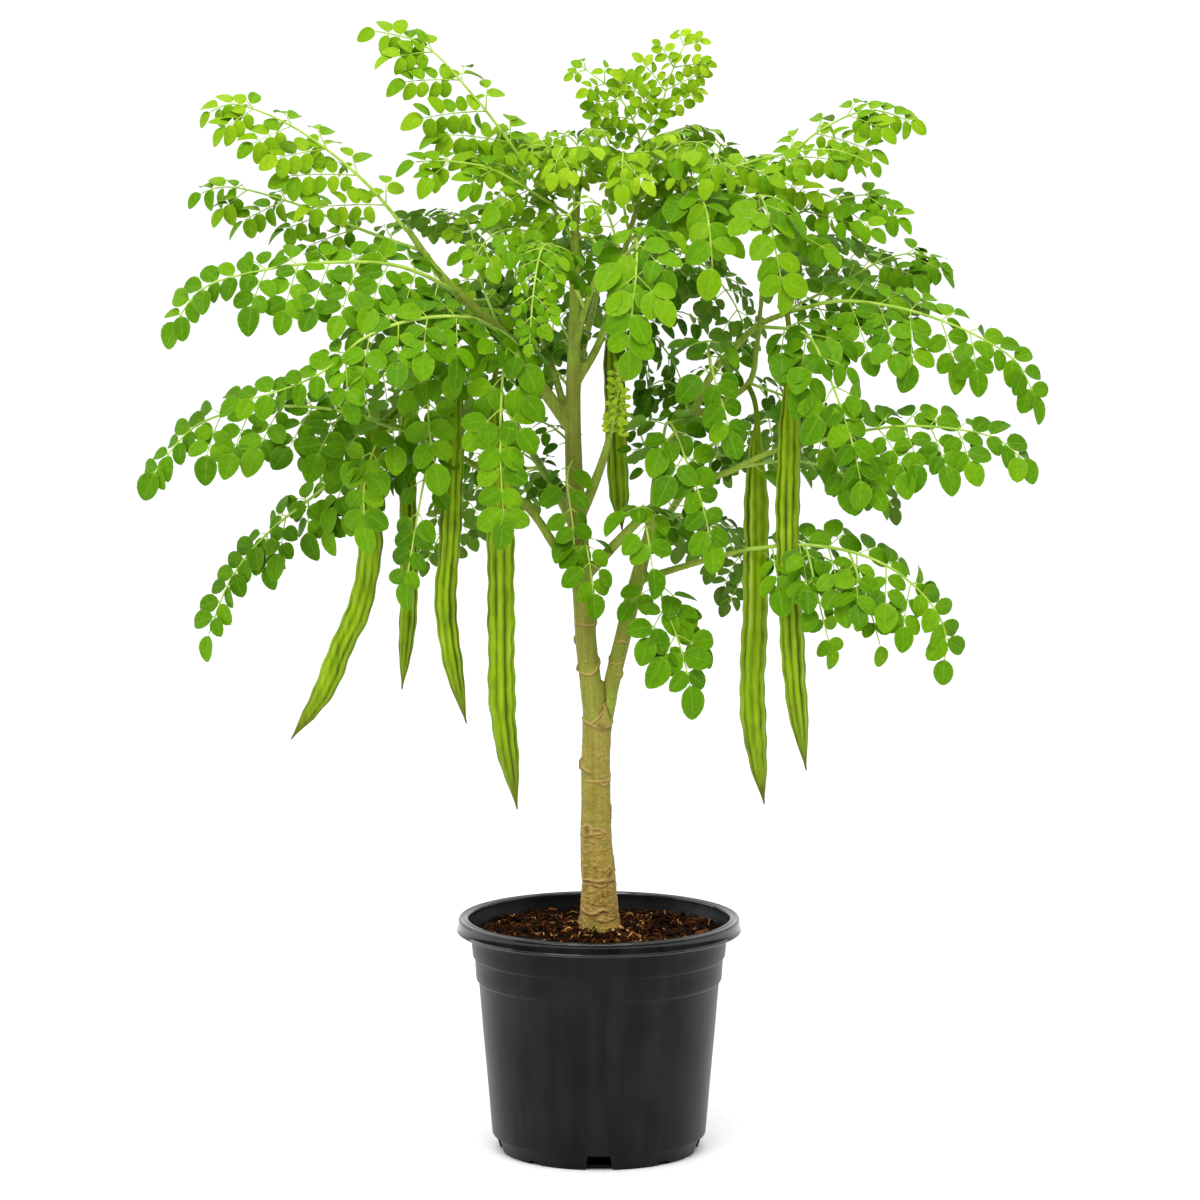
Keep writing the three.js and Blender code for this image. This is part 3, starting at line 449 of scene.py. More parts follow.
cut = pot.modifiers.new("notches", "BOOLEAN")
cut.operation, cut.object, cut.solver = "DIFFERENCE", cutter, "EXACT"
apply_modifiers(pot)
bpy.data.objects.remove(cutter)
pot.data.set_sharp_from_angle(angle=math.radians(SHARPEST_BEND))
print("container faces:", len(pot.data.polygons))

# %% [markdown]
# The potting mix is dark coir and composted bark. It is damp and has no shine. Its crumbs are about 4 mm
# across and its clods 6 mm. Crumbs vary the colour, and clods are raised by a bump, which is enough at
# this size. A mark on the points shifts the colour: on the bed it paints shade into the hollows and on
# the plug's side, and light onto the lumps, and each chip or hair has its own tone, up to the tan of
# fresh coir.

# %% Damp coir and bark
CRUMB, CLOD = 4.35, 6.25  # mm

coir, tree = new_material("damp_coir_and_bark")
place = add_node(tree, "ShaderNodeTexCoord").outputs["Object"]
# The shade mark holds each chip's and hair's own tone, and on the bed painted shade and light.
tone_and_painted_shade = add_node(tree, "ShaderNodeAttribute", attribute_name="shade").outputs["Fac"]
crumbs = add_node(tree, "ShaderNodeTexNoise", {"Vector": place, "Scale": METRE / CRUMB, "Detail": 6.0})
clods = add_node(tree, "ShaderNodeTexVoronoi", {"Vector": place, "Scale": METRE / CLOD})
mixed = add_node(tree, "ShaderNodeMath", {
    0: crumbs.outputs["Fac"], 1: 0.8, 2: tone_and_painted_shade}, operation="MULTIPLY_ADD")
tint = add_node(tree, "ShaderNodeValToRGB", {"Fac": mixed.outputs[0]}, stops=[
    (0.26, "#100702"), (0.46, "#2b1608"), (0.62, "#552b12"), (0.84, "#855022"), (1.0, "#c49a55")])
bump = add_node(tree, "ShaderNodeBump", {
    "Height": clods.outputs["Distance"], "Strength": 0.9, "Distance": 0.002})
bsdf = add_node(tree, "ShaderNodeBsdfPrincipled", {
    "Base Color": tint.outputs[0], "Normal": bump.outputs[0], "Roughness": 0.95, "IOR": 1.4,
    "Specular IOR Level": 0.08})
add_node(tree, "ShaderNodeOutputMaterial", {"Surface": bsdf.outputs[0]})
print("crumbs per metre:", round(METRE / CRUMB))

# %% [markdown]
# The mix is one plug that fills the pot. Its side follows the inside of the wall and draws back low down,
# where water has washed it out behind the notches. Its top could be sculpted or displaced by a modifier.
# Here each point is lifted by a formula, as the chips have to find the same height again: hollows 26 mm
# across, lumps of 9 mm and crumbs of 4 mm, on a low mound round the trunk.

# %% The bed of potting mix
MIX_TOP = 222  # mm above the foot
TRUNK_FOOT = (1.0, 0.0)
BED_SIDES, BED_RINGS = 230, 74
BED_RADIUS, BED_EDGE = 127.5, 6  # mm: the bed's reach, and how wide its falling edge is
BED_LOW = MIX_TOP - 4  # mm: the level that mound, hollows, lumps and crumbs are added to
# How far across each of them is and how high it stands, in mm.
MOUND, HOLLOW, LUMP, SOIL_CRUMB = (38, 8.5), (26, 3.4), (9, 8.0), (4.2, 3.2)
# The plug's side, from the middle of its foot: radius and height in mm.
PLUG_SIDE = [(0, 3.4), (60, 3.4), (78, 3.4), (84, 20), (88, 30), (105, 44), (118.6, 173), (121, 192),
             (124.6, 201), (125.6, 210)]


def bed_height(x, y):
    """Height of the bed at a place, in mm."""
    hollow, lump, crumb = (noise.noise(Vector((x / across, y / across, layer)))
                           for (across, _), layer in ((HOLLOW, 0.3), (LUMP, 4.1), (SOIL_CRUMB, 9.7)))
    off_trunk = (x - TRUNK_FOOT[0]) ** 2 + (y - TRUNK_FOOT[1]) ** 2
    mound = MOUND[1] * math.exp(-(off_trunk / MOUND[0] ** 2))
    return BED_LOW + mound + HOLLOW[1] * hollow + LUMP[1] * abs(lump) + SOIL_CRUMB[1] * abs(crumb)


bed_radii = np.linspace(127, 1.5, BED_RINGS)
bed_points, bed_faces = turned(
    PLUG_SIDE + [(radius, MIX_TOP) for radius in bed_radii] + [(0, MIX_TOP)], BED_SIDES)
for point in bed_points:
    if point[2] >= MIX_TOP:
        inward = min(1.0, (BED_RADIUS - math.hypot(point[0], point[1])) / BED_EDGE)
        point[2] = BED_LOW + inward * (bed_height(point[0], point[1]) - BED_LOW)
# The plug's side is painted dark as shade, which shows through the notches.
# On its top, shade is painted into the hollows and light onto the lumps.
relief = bed_points[:, 2] - MIX_TOP
bed_painted_light_and_shade = np.where(relief < -30, -0.4, np.clip(-0.12 + 0.035 * relief, -0.2, 0.16))
add_piece("potting_mix_bed", bed_points, bed_faces, [coir], "potting_mix",
          replaced=["potting_mix"], marks={"shade": bed_painted_light_and_shade})
print("bed faces:", len(bed_faces))

# %% [markdown]
# On the bed lie chips of composted bark. At this distance their shadows are what makes soil look loose,
# so they are real geometry. A particle system would scatter them faster, but a piece made of solids can
# also be exported and measured. A chip is a small angular block, squashed and turned at random. All
# draws come from one seeded generator, so that the bed is the same on every run.

# %% Bark chips
CHIP_COUNT = 1000
CHIP_SIZES, SIZE_SHARES = [1.5, 2.6, 4.2], [0.45, 0.37, 0.18]  # mm, and how common each is
CHIP_SHADES, SHADE_SHARES = [-0.14, -0.02, 0.12, 0.32], [0.48, 0.34, 0.15, 0.03]
CHIP_FORM = (1.8, 0.8, 0.5)  # length, width and thickness
CHIP_TIP = 0.6  # radians that a chip is commonly tipped by
LOOSE_REACH = 123  # mm from the middle that chips and hairs lie within
BLOCK = np.array([(x, y, z) for z in (-1, 1) for y in (-1, 1) for x in (-1, 1)], float)
BLOCK_FACES = ((0, 2, 3, 1), (4, 5, 7, 6), (0, 1, 5, 4), (2, 6, 7, 3), (0, 4, 6, 2), (1, 3, 7, 5))
soil_rng = np.random.default_rng(11)


def chip_turn(rng):
    """A turn about the vertical with a small tip to one side."""
    spin, lean = rng.uniform(0, 2 * math.pi), rng.normal(0, CHIP_TIP)
    about = [[math.cos(spin), -math.sin(spin), 0], [math.sin(spin), math.cos(spin), 0], [0, 0, 1]]
    tipped = [[1, 0, 0], [0, math.cos(lean), -math.sin(lean)], [0, math.sin(lean), math.cos(lean)]]
    return np.array(about) @ np.array(tipped)


def place_on_bed(rng):
    """A place on the bed, clear of its very middle, where the trunk stands."""
    radius, angle = LOOSE_REACH * math.sqrt(rng.uniform(0.03, 1)), rng.uniform(0, 2 * math.pi)
    return radius * math.cos(angle), radius * math.sin(angle)


loose_points, loose_faces, loose_shades, count = [], [], [], 0
for _ in range(CHIP_COUNT):
    x, y = place_on_bed(soil_rng)
    size = soil_rng.uniform(0.7, 1.0) * soil_rng.choice(CHIP_SIZES, p=SIZE_SHARES)
    block = BLOCK * size * soil_rng.uniform(0.45, 1.25, (8, 1)) * CHIP_FORM
    loose_points.append(block @ chip_turn(soil_rng).T + (x, y, bed_height(x, y) + size * 0.3))
    loose_faces += shifted(BLOCK_FACES, count)
    loose_shades += [soil_rng.choice(CHIP_SHADES, p=SHADE_SHARES)] * len(BLOCK)
    count += len(BLOCK)
print("chips:", CHIP_COUNT)

# %% [markdown]
# Coir hairs are the fibres of coconut husk, 7 to 26 mm long and thinner than a millimetre. They bend and
# rise a little in their middle, and the freshest are pale. A few thin roots come up beside the trunk and
# run into the mix again. Both are thin tubes that follow the bed's height. Hair strands would be lighter
# to draw, but they would be lost in an export.

# %% Coir hairs and surface roots
HAIR_COUNT = 560
HAIR_SHADES, HAIR_SHARES = [0.06, 0.22, 0.5], [0.48, 0.36, 0.16]
ROOT_SHADE = 0.56
HAIR_LENGTHS, HAIR_BEND, HAIR_ARCH = (7, 26), 0.6, 3.4  # mm, radians, mm
HAIR_RADII = (0.35, 0.85)  # mm
OUTERMOST, INNERMOST = 125, 17  # mm from the middle that a hair keeps between
# Each root: radius, then its places, in mm.
SURFACE_ROOTS = [
    (2.2, [(19, -7), (28, -14), (37, -26), (46, -38)]), (1.4, [(36, -25), (32, -36), (24, -46)]),
    (1.7, [(13, -17), (19, -32), (28, -50)]), (1.3, [(-18, -9), (-30, -18), (-48, -24)])]

strands = []
for _ in range(HAIR_COUNT):
    middle, heading = np.array(place_on_bed(soil_rng)), soil_rng.uniform(0, 2 * math.pi)
    length, bend = soil_rng.uniform(*HAIR_LENGTHS), soil_rng.normal(0, HAIR_BEND)
    steps = np.linspace(-0.5, 0.5, 7)
    turns = heading + bend * steps
    flat = middle + length * steps[:, None] * np.stack([np.cos(turns), np.sin(turns)], -1)
    lift = 0.8 + soil_rng.uniform(0, HAIR_ARCH) * (1 - (2 * steps) ** 2)
    thick, shade = soil_rng.uniform(*HAIR_RADII), soil_rng.choice(HAIR_SHADES, p=HAIR_SHARES)
    strands.append((flat, lift, thick * (1.1 - np.abs(steps)), shade))
for thick, route in SURFACE_ROOTS:
    flat = smooth_line([(x, y, 0) for x, y in route], 5)[0][:, :2]
    radii = np.linspace(thick, thick * 0.5, len(flat))
    strands.append((flat, np.linspace(2.2, 1.2, len(flat)), radii, ROOT_SHADE))
for flat, lift, radii, shade in strands:
    distance = np.hypot(flat[:, 0], flat[:, 1])
    if distance.max() > OUTERMOST or distance.min() < INNERMOST:
        continue
    line = np.array([(x, y, bed_height(x, y) + up) for (x, y), up in zip(flat, lift)])
    points, faces = tube(line, radii, 5)
    loose_points.append(points)
    loose_faces += shifted(faces, count)
    loose_shades += [shade] * len(points)
    count += len(points)
add_piece("bark_chips_and_coir", np.vstack(loose_points), loose_faces, [coir], "potting_mix",
          marks={"shade": loose_shades})
print("points of chips, hairs and roots:", count)

# %% [markdown]
# Young moringa bark is thin and pale. Low on the trunk it is tan and finely wrinkled, higher up it turns
# olive, and the year's own shoots are green. Long faint streaks and fine pores lie all over it. One
# finish covers all of it, so that no seam shows where one age of wood meets the next. Marks on the
# points steer it: how young the wood is, where pale cork has grown over an old wound, where a knot is
# dark, and where shadow is painted dark under a ridge. Wrinkles run round the trunk, 9 mm long and one
# every 3.6 mm. Real pores are half a millimetre wide and drawn at 1.6 mm, as finer ones would not show.

# %% Young moringa bark
MOTTLE, PORE = 18.18, 1.613  # mm
WRINKLE, BARK_STREAK = (9.09, 9.09, 3.571), (3.333, 3.333, 62.5)  # mm: two ways across and up

bark, tree = new_material("young_moringa_bark")
place = add_node(tree, "ShaderNodeTexCoord").outputs["Object"]
youth, cork, dark = (add_node(tree, "ShaderNodeAttribute", attribute_name=mark).outputs["Fac"]
                     for mark in ("youth", "cork", "dark"))
mottle = add_node(tree, "ShaderNodeTexNoise", {"Vector": place, "Scale": METRE / MOTTLE, "Detail": 5.0})
squashed = add_node(tree, "ShaderNodeMapping", {
    "Vector": place, "Scale": [METRE / size for size in WRINKLE]})
wrinkles = add_node(tree, "ShaderNodeTexNoise", {
    "Vector": squashed.outputs[0], "Scale": 1.0, "Detail": 5.0, "Distortion": 1.2})
drawn_out = add_node(tree, "ShaderNodeMapping", {
    "Vector": place, "Scale": [METRE / size for size in BARK_STREAK]})
streaks = add_node(tree, "ShaderNodeTexNoise", {"Vector": drawn_out.outputs[0], "Scale": 1.0})
pores = add_node(tree, "ShaderNodeTexNoise", {"Vector": place, "Scale": METRE / PORE, "Detail": 2.0})
aged = add_node(tree, "ShaderNodeMath", {
    0: mottle.outputs["Fac"], 1: 0.5, 2: youth}, operation="MULTIPLY_ADD")
tint = add_node(tree, "ShaderNodeValToRGB", {"Fac": aged.outputs[0]}, stops=[
    (0.14, "#c9ab60"), (0.32, "#b59e4c"), (0.54, "#9c9540"), (0.8, "#8f9638"), (1.0, "#93ac38")])
wrinkle_tint = add_node(tree, "ShaderNodeValToRGB", {"Fac": wrinkles.outputs["Fac"]},
                        stops=[(0.34, "#a89c7c"), (0.47, "#e8e0cc"), (0.62, "#ffffff")])
streak_tint = add_node(tree, "ShaderNodeValToRGB", {"Fac": streaks.outputs["Fac"]},
                       stops=[(0.35, "#c4c0b0"), (0.65, "#ffffff")])
pore_tint = add_node(tree, "ShaderNodeValToRGB", {"Fac": pores.outputs["Fac"]},
                     stops=[(0.34, "#a79c74"), (0.54, "#ffffff")])
age = add_node(tree, "ShaderNodeMath", {0: 1.0, 1: youth}, operation="SUBTRACT")
worn = add_node(tree, "ShaderNodeMath", {0: age.outputs[0], 1: 3.0}, operation="POWER")
colour = tint.outputs[0]
# Wrinkles, streaks and pores each darken the bark in turn, by a share of their own.
for share, pattern in ((worn.outputs[0], wrinkle_tint), (0.5, streak_tint), (0.3, pore_tint)):
    colour = add_node(tree, "ShaderNodeMix", {0: share, 6: colour, 7: pattern.outputs[0]},
                      data_type="RGBA", blend_type="MULTIPLY").outputs[2]
# Pale cork first, then the dark of knots and of the shadow painted under ridges.
for share, scar_and_shadow_colour in ((cork, "#bf9a5c"), (dark, "#5e3c18")):
    colour = add_node(tree, "ShaderNodeMix", {0: share, 6: colour, 7: linear(scar_and_shadow_colour)},
                      data_type="RGBA").outputs[2]
relief = add_node(tree, "ShaderNodeMath", {
    0: wrinkles.outputs["Fac"], 1: worn.outputs[0]}, operation="MULTIPLY")
bump = add_node(tree, "ShaderNodeBump", {
    "Height": relief.outputs[0], "Strength": 0.5, "Distance": 0.0014})
bsdf = add_node(tree, "ShaderNodeBsdfPrincipled", {
    "Base Color": colour, "Normal": bump.outputs[0], "Roughness": 0.6, "IOR": 1.45,
    "Specular IOR Level": 0.25})
add_node(tree, "ShaderNodeOutputMaterial", {"Surface": bsdf.outputs[0]})
print("wrinkles per metre of trunk:", round(METRE / WRINKLE[2]))

# %% [markdown]
# Trunk and branches grew as one piece. The routes below give each limb as across, up, depth and radius
# in mm. The trunk swells a little at each old leaf ring, so its radius goes up and down. Each limb starts
# inside the one that carries it, because a branch grows out of the wood and isn't stuck on.

# %% Routes of the wood
WOOD = {
    "trunk": [
        (1, 124, 0, 17), (1, 190, 0, 20.6), (0.5, 212, 0, 22.6), (0.2, 224, 0, 21.6), (0.4, 236, 0, 19.6),
        (0, 251, 0, 18.5), (0, 266, 0, 17.1), (-1, 278, 0, 17.6), (-2.6, 302, 0, 16.2), (-3, 316, 0, 16),
        (-3, 343, 0, 15), (-3.5, 381, 0, 14.7), (-2.3, 412, 0, 14.6), (-1.4, 430, 0, 15.6),
        (-0.6, 438, 0, 14.4)],
    "left stem": [
        (-2, 424, 0, 12.6), (-6.3, 445, 0, 11.1), (-9.1, 471, 0, 11), (-12.8, 504, 0, 10.8),
        (-16, 557, 0, 10.8), (-20, 600, 0, 10.5), (-25, 677, 0, 9), (-26, 734, 0, 8), (-24, 847, 2, 6),
        (-24, 917, 5, 4.6), (-20, 965, 6, 3.4)],
    "right stem": [
        (5, 424, 0, 8), (9.6, 440, 0, 7), (11.7, 457, 0, 7.9), (14.4, 471, -1, 8.3), (22.4, 504, -2, 8.3),
        (33, 547, -1, 8.4), (42, 582, 0, 7.2), (55, 633, -2, 5.6), (58, 670, -5, 5), (72, 705, -10, 4.6),
        (91, 729, -14, 4.4), (113, 773, -18, 4.2), (137, 801, -20, 3.8), (158, 821, -24, 3.6),
        (192, 836, -28, 3)],
    "long left branch": [
        (-26, 716, 0, 7), (-57, 760, -10, 6.6), (-94, 811, -25, 5.8), (-139, 852, -34, 5),
        (-165, 880, -38, 4.4), (-192, 919, -40, 3.4)],
    "pod twig left": [
        (-112, 829, -29, 3.4), (-140, 808, -18, 3), (-168, 780, -12, 2.8), (-186, 762, -10, 2.4)],
    "upright twig left": [
        (-32, 728, 0, 4.4), (-43, 768, 16, 3.8), (-56, 806, 30, 3.2), (-72, 850, 46, 2.6)],
    "crown twig": [
        (-22, 765, 2, 4.6), (0, 804, 10, 4.2), (14, 850, 16, 3.8), (28, 905, 14, 3.4), (44, 960, 8, 2.8),
        (56, 1010, 4, 2.2)],
    "middle twig": [(-20, 628, 0, 6), (-8, 655, -10, 5.4), (3, 684, -18, 4.6), (11, 712, -24, 3.4)],
    "long right branch": [
        (-14, 570, 0, 6), (8, 594, -16, 5.4), (30, 617, -26, 5), (60, 645, -36, 4.6), (96, 664, -42, 4.2),
        (129, 675, -45, 3.8), (170, 694, -46, 3.2), (206, 702, -46, 2.6)],
    "low left branch": [
        (-20, 570, 0, 6), (-42, 598, -14, 5), (-68, 636, -20, 4.4), (-116, 676, -18, 3.8),
        (-160, 702, -14, 3.2), (-200, 719, -10, 2.6)],
    "low right branch": [(38, 566, 0, 4.6), (66, 575, -8, 4), (107, 587, -20, 3.4), (150, 598, -30, 2.6)],
    "pod hub right": [
        (91, 729, -14, 3.6), (122, 745, 0, 3.4), (150, 764, 8, 3.6), (158, 800, 8, 3), (163, 860, 4, 2.6),
        (166, 915, -2, 2.2)],
    "back branch left": [(-20, 610, 2, 6), (-40, 650, 60, 4.8), (-70, 700, 125, 4), (-95, 745, 185, 3)],
    "back branch right": [(36, 570, 2, 5), (56, 612, 60, 4.4), (88, 660, 125, 3.6), (110, 700, 180, 2.8)],
    "back branch high": [(-25, 740, 4, 5.4), (-18, 790, 60, 4.4), (-4, 845, 120, 3.6), (6, 890, 165, 2.6)],
    "front twig": [(-26, 790, 0, 4.4), (-14, 838, -34, 3.8), (4, 884, -72, 3), (22, 908, -104, 2.4)],
}
limb_lines = {name: smooth_line([read_place(*point[:3]) for point in limb]) for name, limb in WOOD.items()}
limb_radii = {}
for name, limb in WOOD.items():
    spans = np.linalg.norm(np.diff([read_place(*point[:3]) for point in limb], axis=0), axis=1)
    shares = np.concatenate([[0], np.cumsum(spans)]) / spans.sum()
    limb_radii[name] = (shares, [point[3] for point in limb])
print("limbs:", len(WOOD))

# %% [markdown]
# Each limb becomes a tube, and a voxel remesh then melts the tubes into one skin with soft crotches, as
# wood has. Joining them with a boolean would leave sharp seams, and stitching them by hand takes long.
# A smoothing pass takes the voxel steps away. The trunk and the fork are then divided once more, because
# the lines on their bark are only two millimetres wide.

# %% One skin of wood
VOXEL = 0.0019  # metres
LIMB_SIDES, LIMB_RING = 28, 4  # faces round a limb, and mm between its rings

limb_points, limb_faces, count = [], [], 0
centres, centre_limbs, centre_radii = [], [], []
for name, line in limb_lines.items():
    rings = np.linspace(0, 1, max(12, int(line[1][-1] / LIMB_RING)))
    places, radii = place_on(line, rings), np.interp(rings, *limb_radii[name])
    ring_points, ring_faces = tube(places, radii, LIMB_SIDES)
    limb_points.append(ring_points)
    limb_faces += shifted(ring_faces, count)
    count += len(ring_points)
    centres.append(places)
    centre_limbs += [name] * len(radii)
    centre_radii += radii.tolist()
raw = add_object("limbs", new_mesh("limbs", np.vstack(limb_points), limb_faces))


def smooth_over(piece, passes):
    """Adds a smoothing pass and turns all modifiers into the mesh."""
    soften = piece.modifiers.new("soften", "SMOOTH")
    soften.factor, soften.iterations = 0.5, passes
    apply_modifiers(piece)


def on_lower_wood(place):
    """Whether a place, in metres, lies on the trunk or low on the two stems."""
    return 0.224 < place.z < 0.56 and abs(place.x) < 0.06 and abs(place.y) < 0.03


melt = raw.modifiers.new("melt", "REMESH")
melt.mode, melt.voxel_size = "VOXEL", VOXEL
smooth_over(raw, 5)
finer = bmesh.new()
finer.from_mesh(raw.data)
lower_edges = [edge for edge in finer.edges if all(on_lower_wood(corner.co) for corner in edge.verts)]
bmesh.ops.subdivide_edges(finer, edges=lower_edges, cuts=1, use_grid_fill=True)
finer.to_mesh(raw.data)
finer.free()
smooth_over(raw, 2)
skin = np.empty(len(raw.data.vertices) * 3)
raw.data.vertices.foreach_get("co", skin)
skin = skin.reshape(-1, 3) * METRE
skin_faces = [tuple(polygon.vertices) for polygon in raw.data.polygons]
bpy.data.objects.remove(raw)
print("skin points:", len(skin), "faces:", len(skin_faces))

# %% [markdown]
# Bark is painted and carved on a flat sheet in the mind: unrolled from the limb, with how far round from
# the front on one axis and height on the other. An unwrapped image would do that too, but it stretches
# at every crotch. Instead each point of the skin looks for the limb centre nearest to it. From that come
# its place on the unrolled bark and its youth, which grows as the limb thins.

# %% The unrolled bark
limb_centres = np.vstack(centres)
finder = kdtree.KDTree(len(limb_centres))
for index, centre in enumerate(limb_centres):
    finder.insert(centre, index)
finder.balance()
nearest = np.array([finder.find(point)[1] for point in skin])
radius_here, limb_here = np.array(centre_radii)[nearest], np.array(centre_limbs)[nearest]
outward = skin - limb_centres[nearest]
outward[:, 2] *= 0.2  # mostly level, as the limbs are mostly upright
outward = unit(outward)
arc_here = np.arctan2(outward[:, 0], -outward[:, 1]) * radius_here
youth_mark = np.interp(radius_here, [2.4, 4.5, 8, 11, 13, 15.2, 17, 20],
                       [0.8, 0.74, 0.58, 0.52, 0.42, 0.22, 0.08, 0.0])
on_fork = (skin[:, 1] < 0) & np.isin(limb_here, ("trunk", "left stem", "right stem"))
FORK_FRONT = -12  # mm: the depth of the fork's front


def unrolled(limb, across, up):
    """A front reading on the unrolled bark of a limb: mm round from the front, and height."""
    if limb == "fork":
        return across, read_place(across, up, FORK_FRONT)[2]
    levels = [point[1] for point in WOOD[limb]]
    middle, radius = (np.interp(up, levels, [point[k] for point in WOOD[limb]]) for k in (0, 3))
    turn = math.asin(max(-1.0, min(1.0, (across - middle) / radius)))
    return radius * turn, read_place(across, up, -radius * math.cos(turn))[2]


print("youngest and oldest wood:", youth_mark.max(), youth_mark.min())

# %% [markdown]
# Old leaf rings, healed wounds and the seam of the fork stand out as low pale ridges with soft edges,
# and under each a painted shadow darkens the bark, as the ridge shades it from above. Knots are dark.
# They could be a bump alone, but at the trunk's outline a bump shows nothing, so the points themselves
# are raised. Each line is laid on the unrolled bark, and every point is raised by its distance from it.

# %% Rings, scars and knots
# Read off the front view: limb, finish, half the width and how far the line stands out in mm, then its
# points as across and up. A line at the fork crosses from limb to limb.
BARK_LINES = [
    ("fork", "cork", 1.0, 1.0, [
        (-18, 428), (-8.4, 423), (-1.7, 420), (5, 418.6), (13.6, 423), (16, 427.5)]),
    ("fork", "cork", 0.9, 0.8, [(-9, 423), (-1.7, 429), (3.4, 435.4), (5.6, 444)]),
    ("fork", "cork", 3.4, 0.9, [(5.4, 441), (4.6, 432), (3.2, 426), (9, 424)]),
    ("fork", "dark", 0.8, -0.7, [(6.6, 443), (9.8, 434.5), (12.2, 428.8)]),
    ("fork", "dark", 0.7, -0.7, [(5.2, 447), (3.6, 439), (0.6, 433.6)]),
    ("fork", "dark", 1.3, -2.6, [(3.4, 466), (4.4, 456), (5.6, 445)]),
    ("left stem", "cork", 1.0, 1.3, [
        (-21.5, 479), (-19, 475), (-13, 472.6), (-7, 473), (-3.6, 476), (-0.4, 485)]),
    ("left stem", "cork", 2.3, 1.7, [(0.6, 484), (1, 488)]),
    ("left stem", "dark", 1.7, 1.7, [(-20.5, 477), (-21, 481)]),
    ("left stem", "cork", 2.8, 2.0, [(-3, 524), (-2.4, 527)]),
    ("left stem", "cork", 0.8, 0.5, [(-20, 523), (-11, 521.5), (-4, 523)]),
    ("left stem", "dark", 1.9, 1.7, [(-24, 505), (-24, 509)]),
    ("right stem", "dark", 2.3, 2.1, [(22, 533), (22.4, 537)]),
    ("right stem", "dark", 1.4, 1.2, [(10.6, 488), (11, 491)]),
    ("right stem", "cork", 2.0, 1.6, [(23, 471), (24, 474)]),
    ("right stem", "cork", 0.9, 0.7, [(18, 505), (22, 506.5), (26.5, 505)]),
    ("right stem", "cork", 0.6, 0.4, [(10, 485), (17, 483), (24.5, 485)]),
    ("trunk", "dark", 1.9, 2.2, [(-18.2, 379), (-18, 387)]),
    ("trunk", "cork", 1.2, 1.0, [(-17.2, 381), (-14, 378), (-10, 375.5)]),
    ("trunk", "cork", 0.8, 0.7, [(-12, 366.5), (-4, 365.4), (3, 366), (10, 367)]),
    ("trunk", "cork", 0.7, 0.6, [(0.6, 370), (6, 371.4), (10.6, 373)]),
    ("trunk", "cork", 0.8, 0.9, [(0.6, 365), (3, 362.4), (6.4, 362), (9, 365.4)]),
    ("trunk", "cork", 2.4, 1.2, [(11, 367), (11.2, 374)]),
    ("trunk", "dark", 1.8, 1.4, [(11.6, 329), (11.6, 341)]),
    ("trunk", "cork", 1.0, 1.4, [
        (-8.6, 321), (-6.6, 316.6), (-9, 312), (-13, 311), (-16.4, 314), (-16.2, 319), (-13, 322),
        (-8.6, 321)]),
    ("trunk", "dark", 1.9, -0.6, [(-12.6, 318), (-11.6, 315.4)]),
    ("trunk", "cork", 0.7, 0.8, [(-7, 318.6), (-1, 317.6), (6, 315)]),
    ("trunk", "cork", 0.7, 0.8, [(-8, 312), (0, 313.4), (6.4, 314.2)]),
    ("trunk", "cork", 1.1, 1.3, [
        (-16.8, 270), (-14, 267.4), (-8, 266.6), (0, 265.4), (5, 266.6), (11, 266.2), (16.4, 268)]),
    ("trunk", "cork", 0.9, 1.0, [(-5, 263), (-1, 260.6), (3, 260.2), (6.2, 261.6)]),
    ("trunk", "cork", 0.8, 1.0, [(6, 276), (11, 281), (14.4, 277), (15.4, 271), (12, 267.4)]),
    ("trunk", "dark", 1.9, 0.9, [(10.4, 271), (11.4, 275)]),
    ("trunk", "cork", 0.8, 0.8, [(-16, 244), (-12.6, 238)]),
    ("trunk", "cork", 1.3, 1.5, [(-16, 237), (-13, 234.4), (-8, 232.6), (-1, 234), (3, 237.4), (8, 236.2)]),
    ("trunk", "cork", 0.8, 0.9, [(8, 246), (13, 249)]),
    ("trunk", "cork", 0.8, 0.9, [(-3, 227), (6, 225), (15, 228)]),
]
LINE_MARGIN = 9  # mm above and below a line that it can still raise
STRONG, WIDE, FAINT = 0.85, 3, 0.4  # how strongly a line is tinted, and from what half width on faintly
# The shadow painted under each line, where its ridge would shade the bark.
PAINTED_SHADOW, PAINTED_SHADOW_OFF, PAINTED_SHADOW_WIDE = 0.55, 1.9, 0.8  # how dark it is, then its place and width in half widths
FULL_RISE = 1.2  # mm: where the bark already stands out this far, a line adds nothing

marks_on_bark = {"cork": np.zeros(len(skin)), "dark": np.zeros(len(skin))}
rise = np.zeros(len(skin))


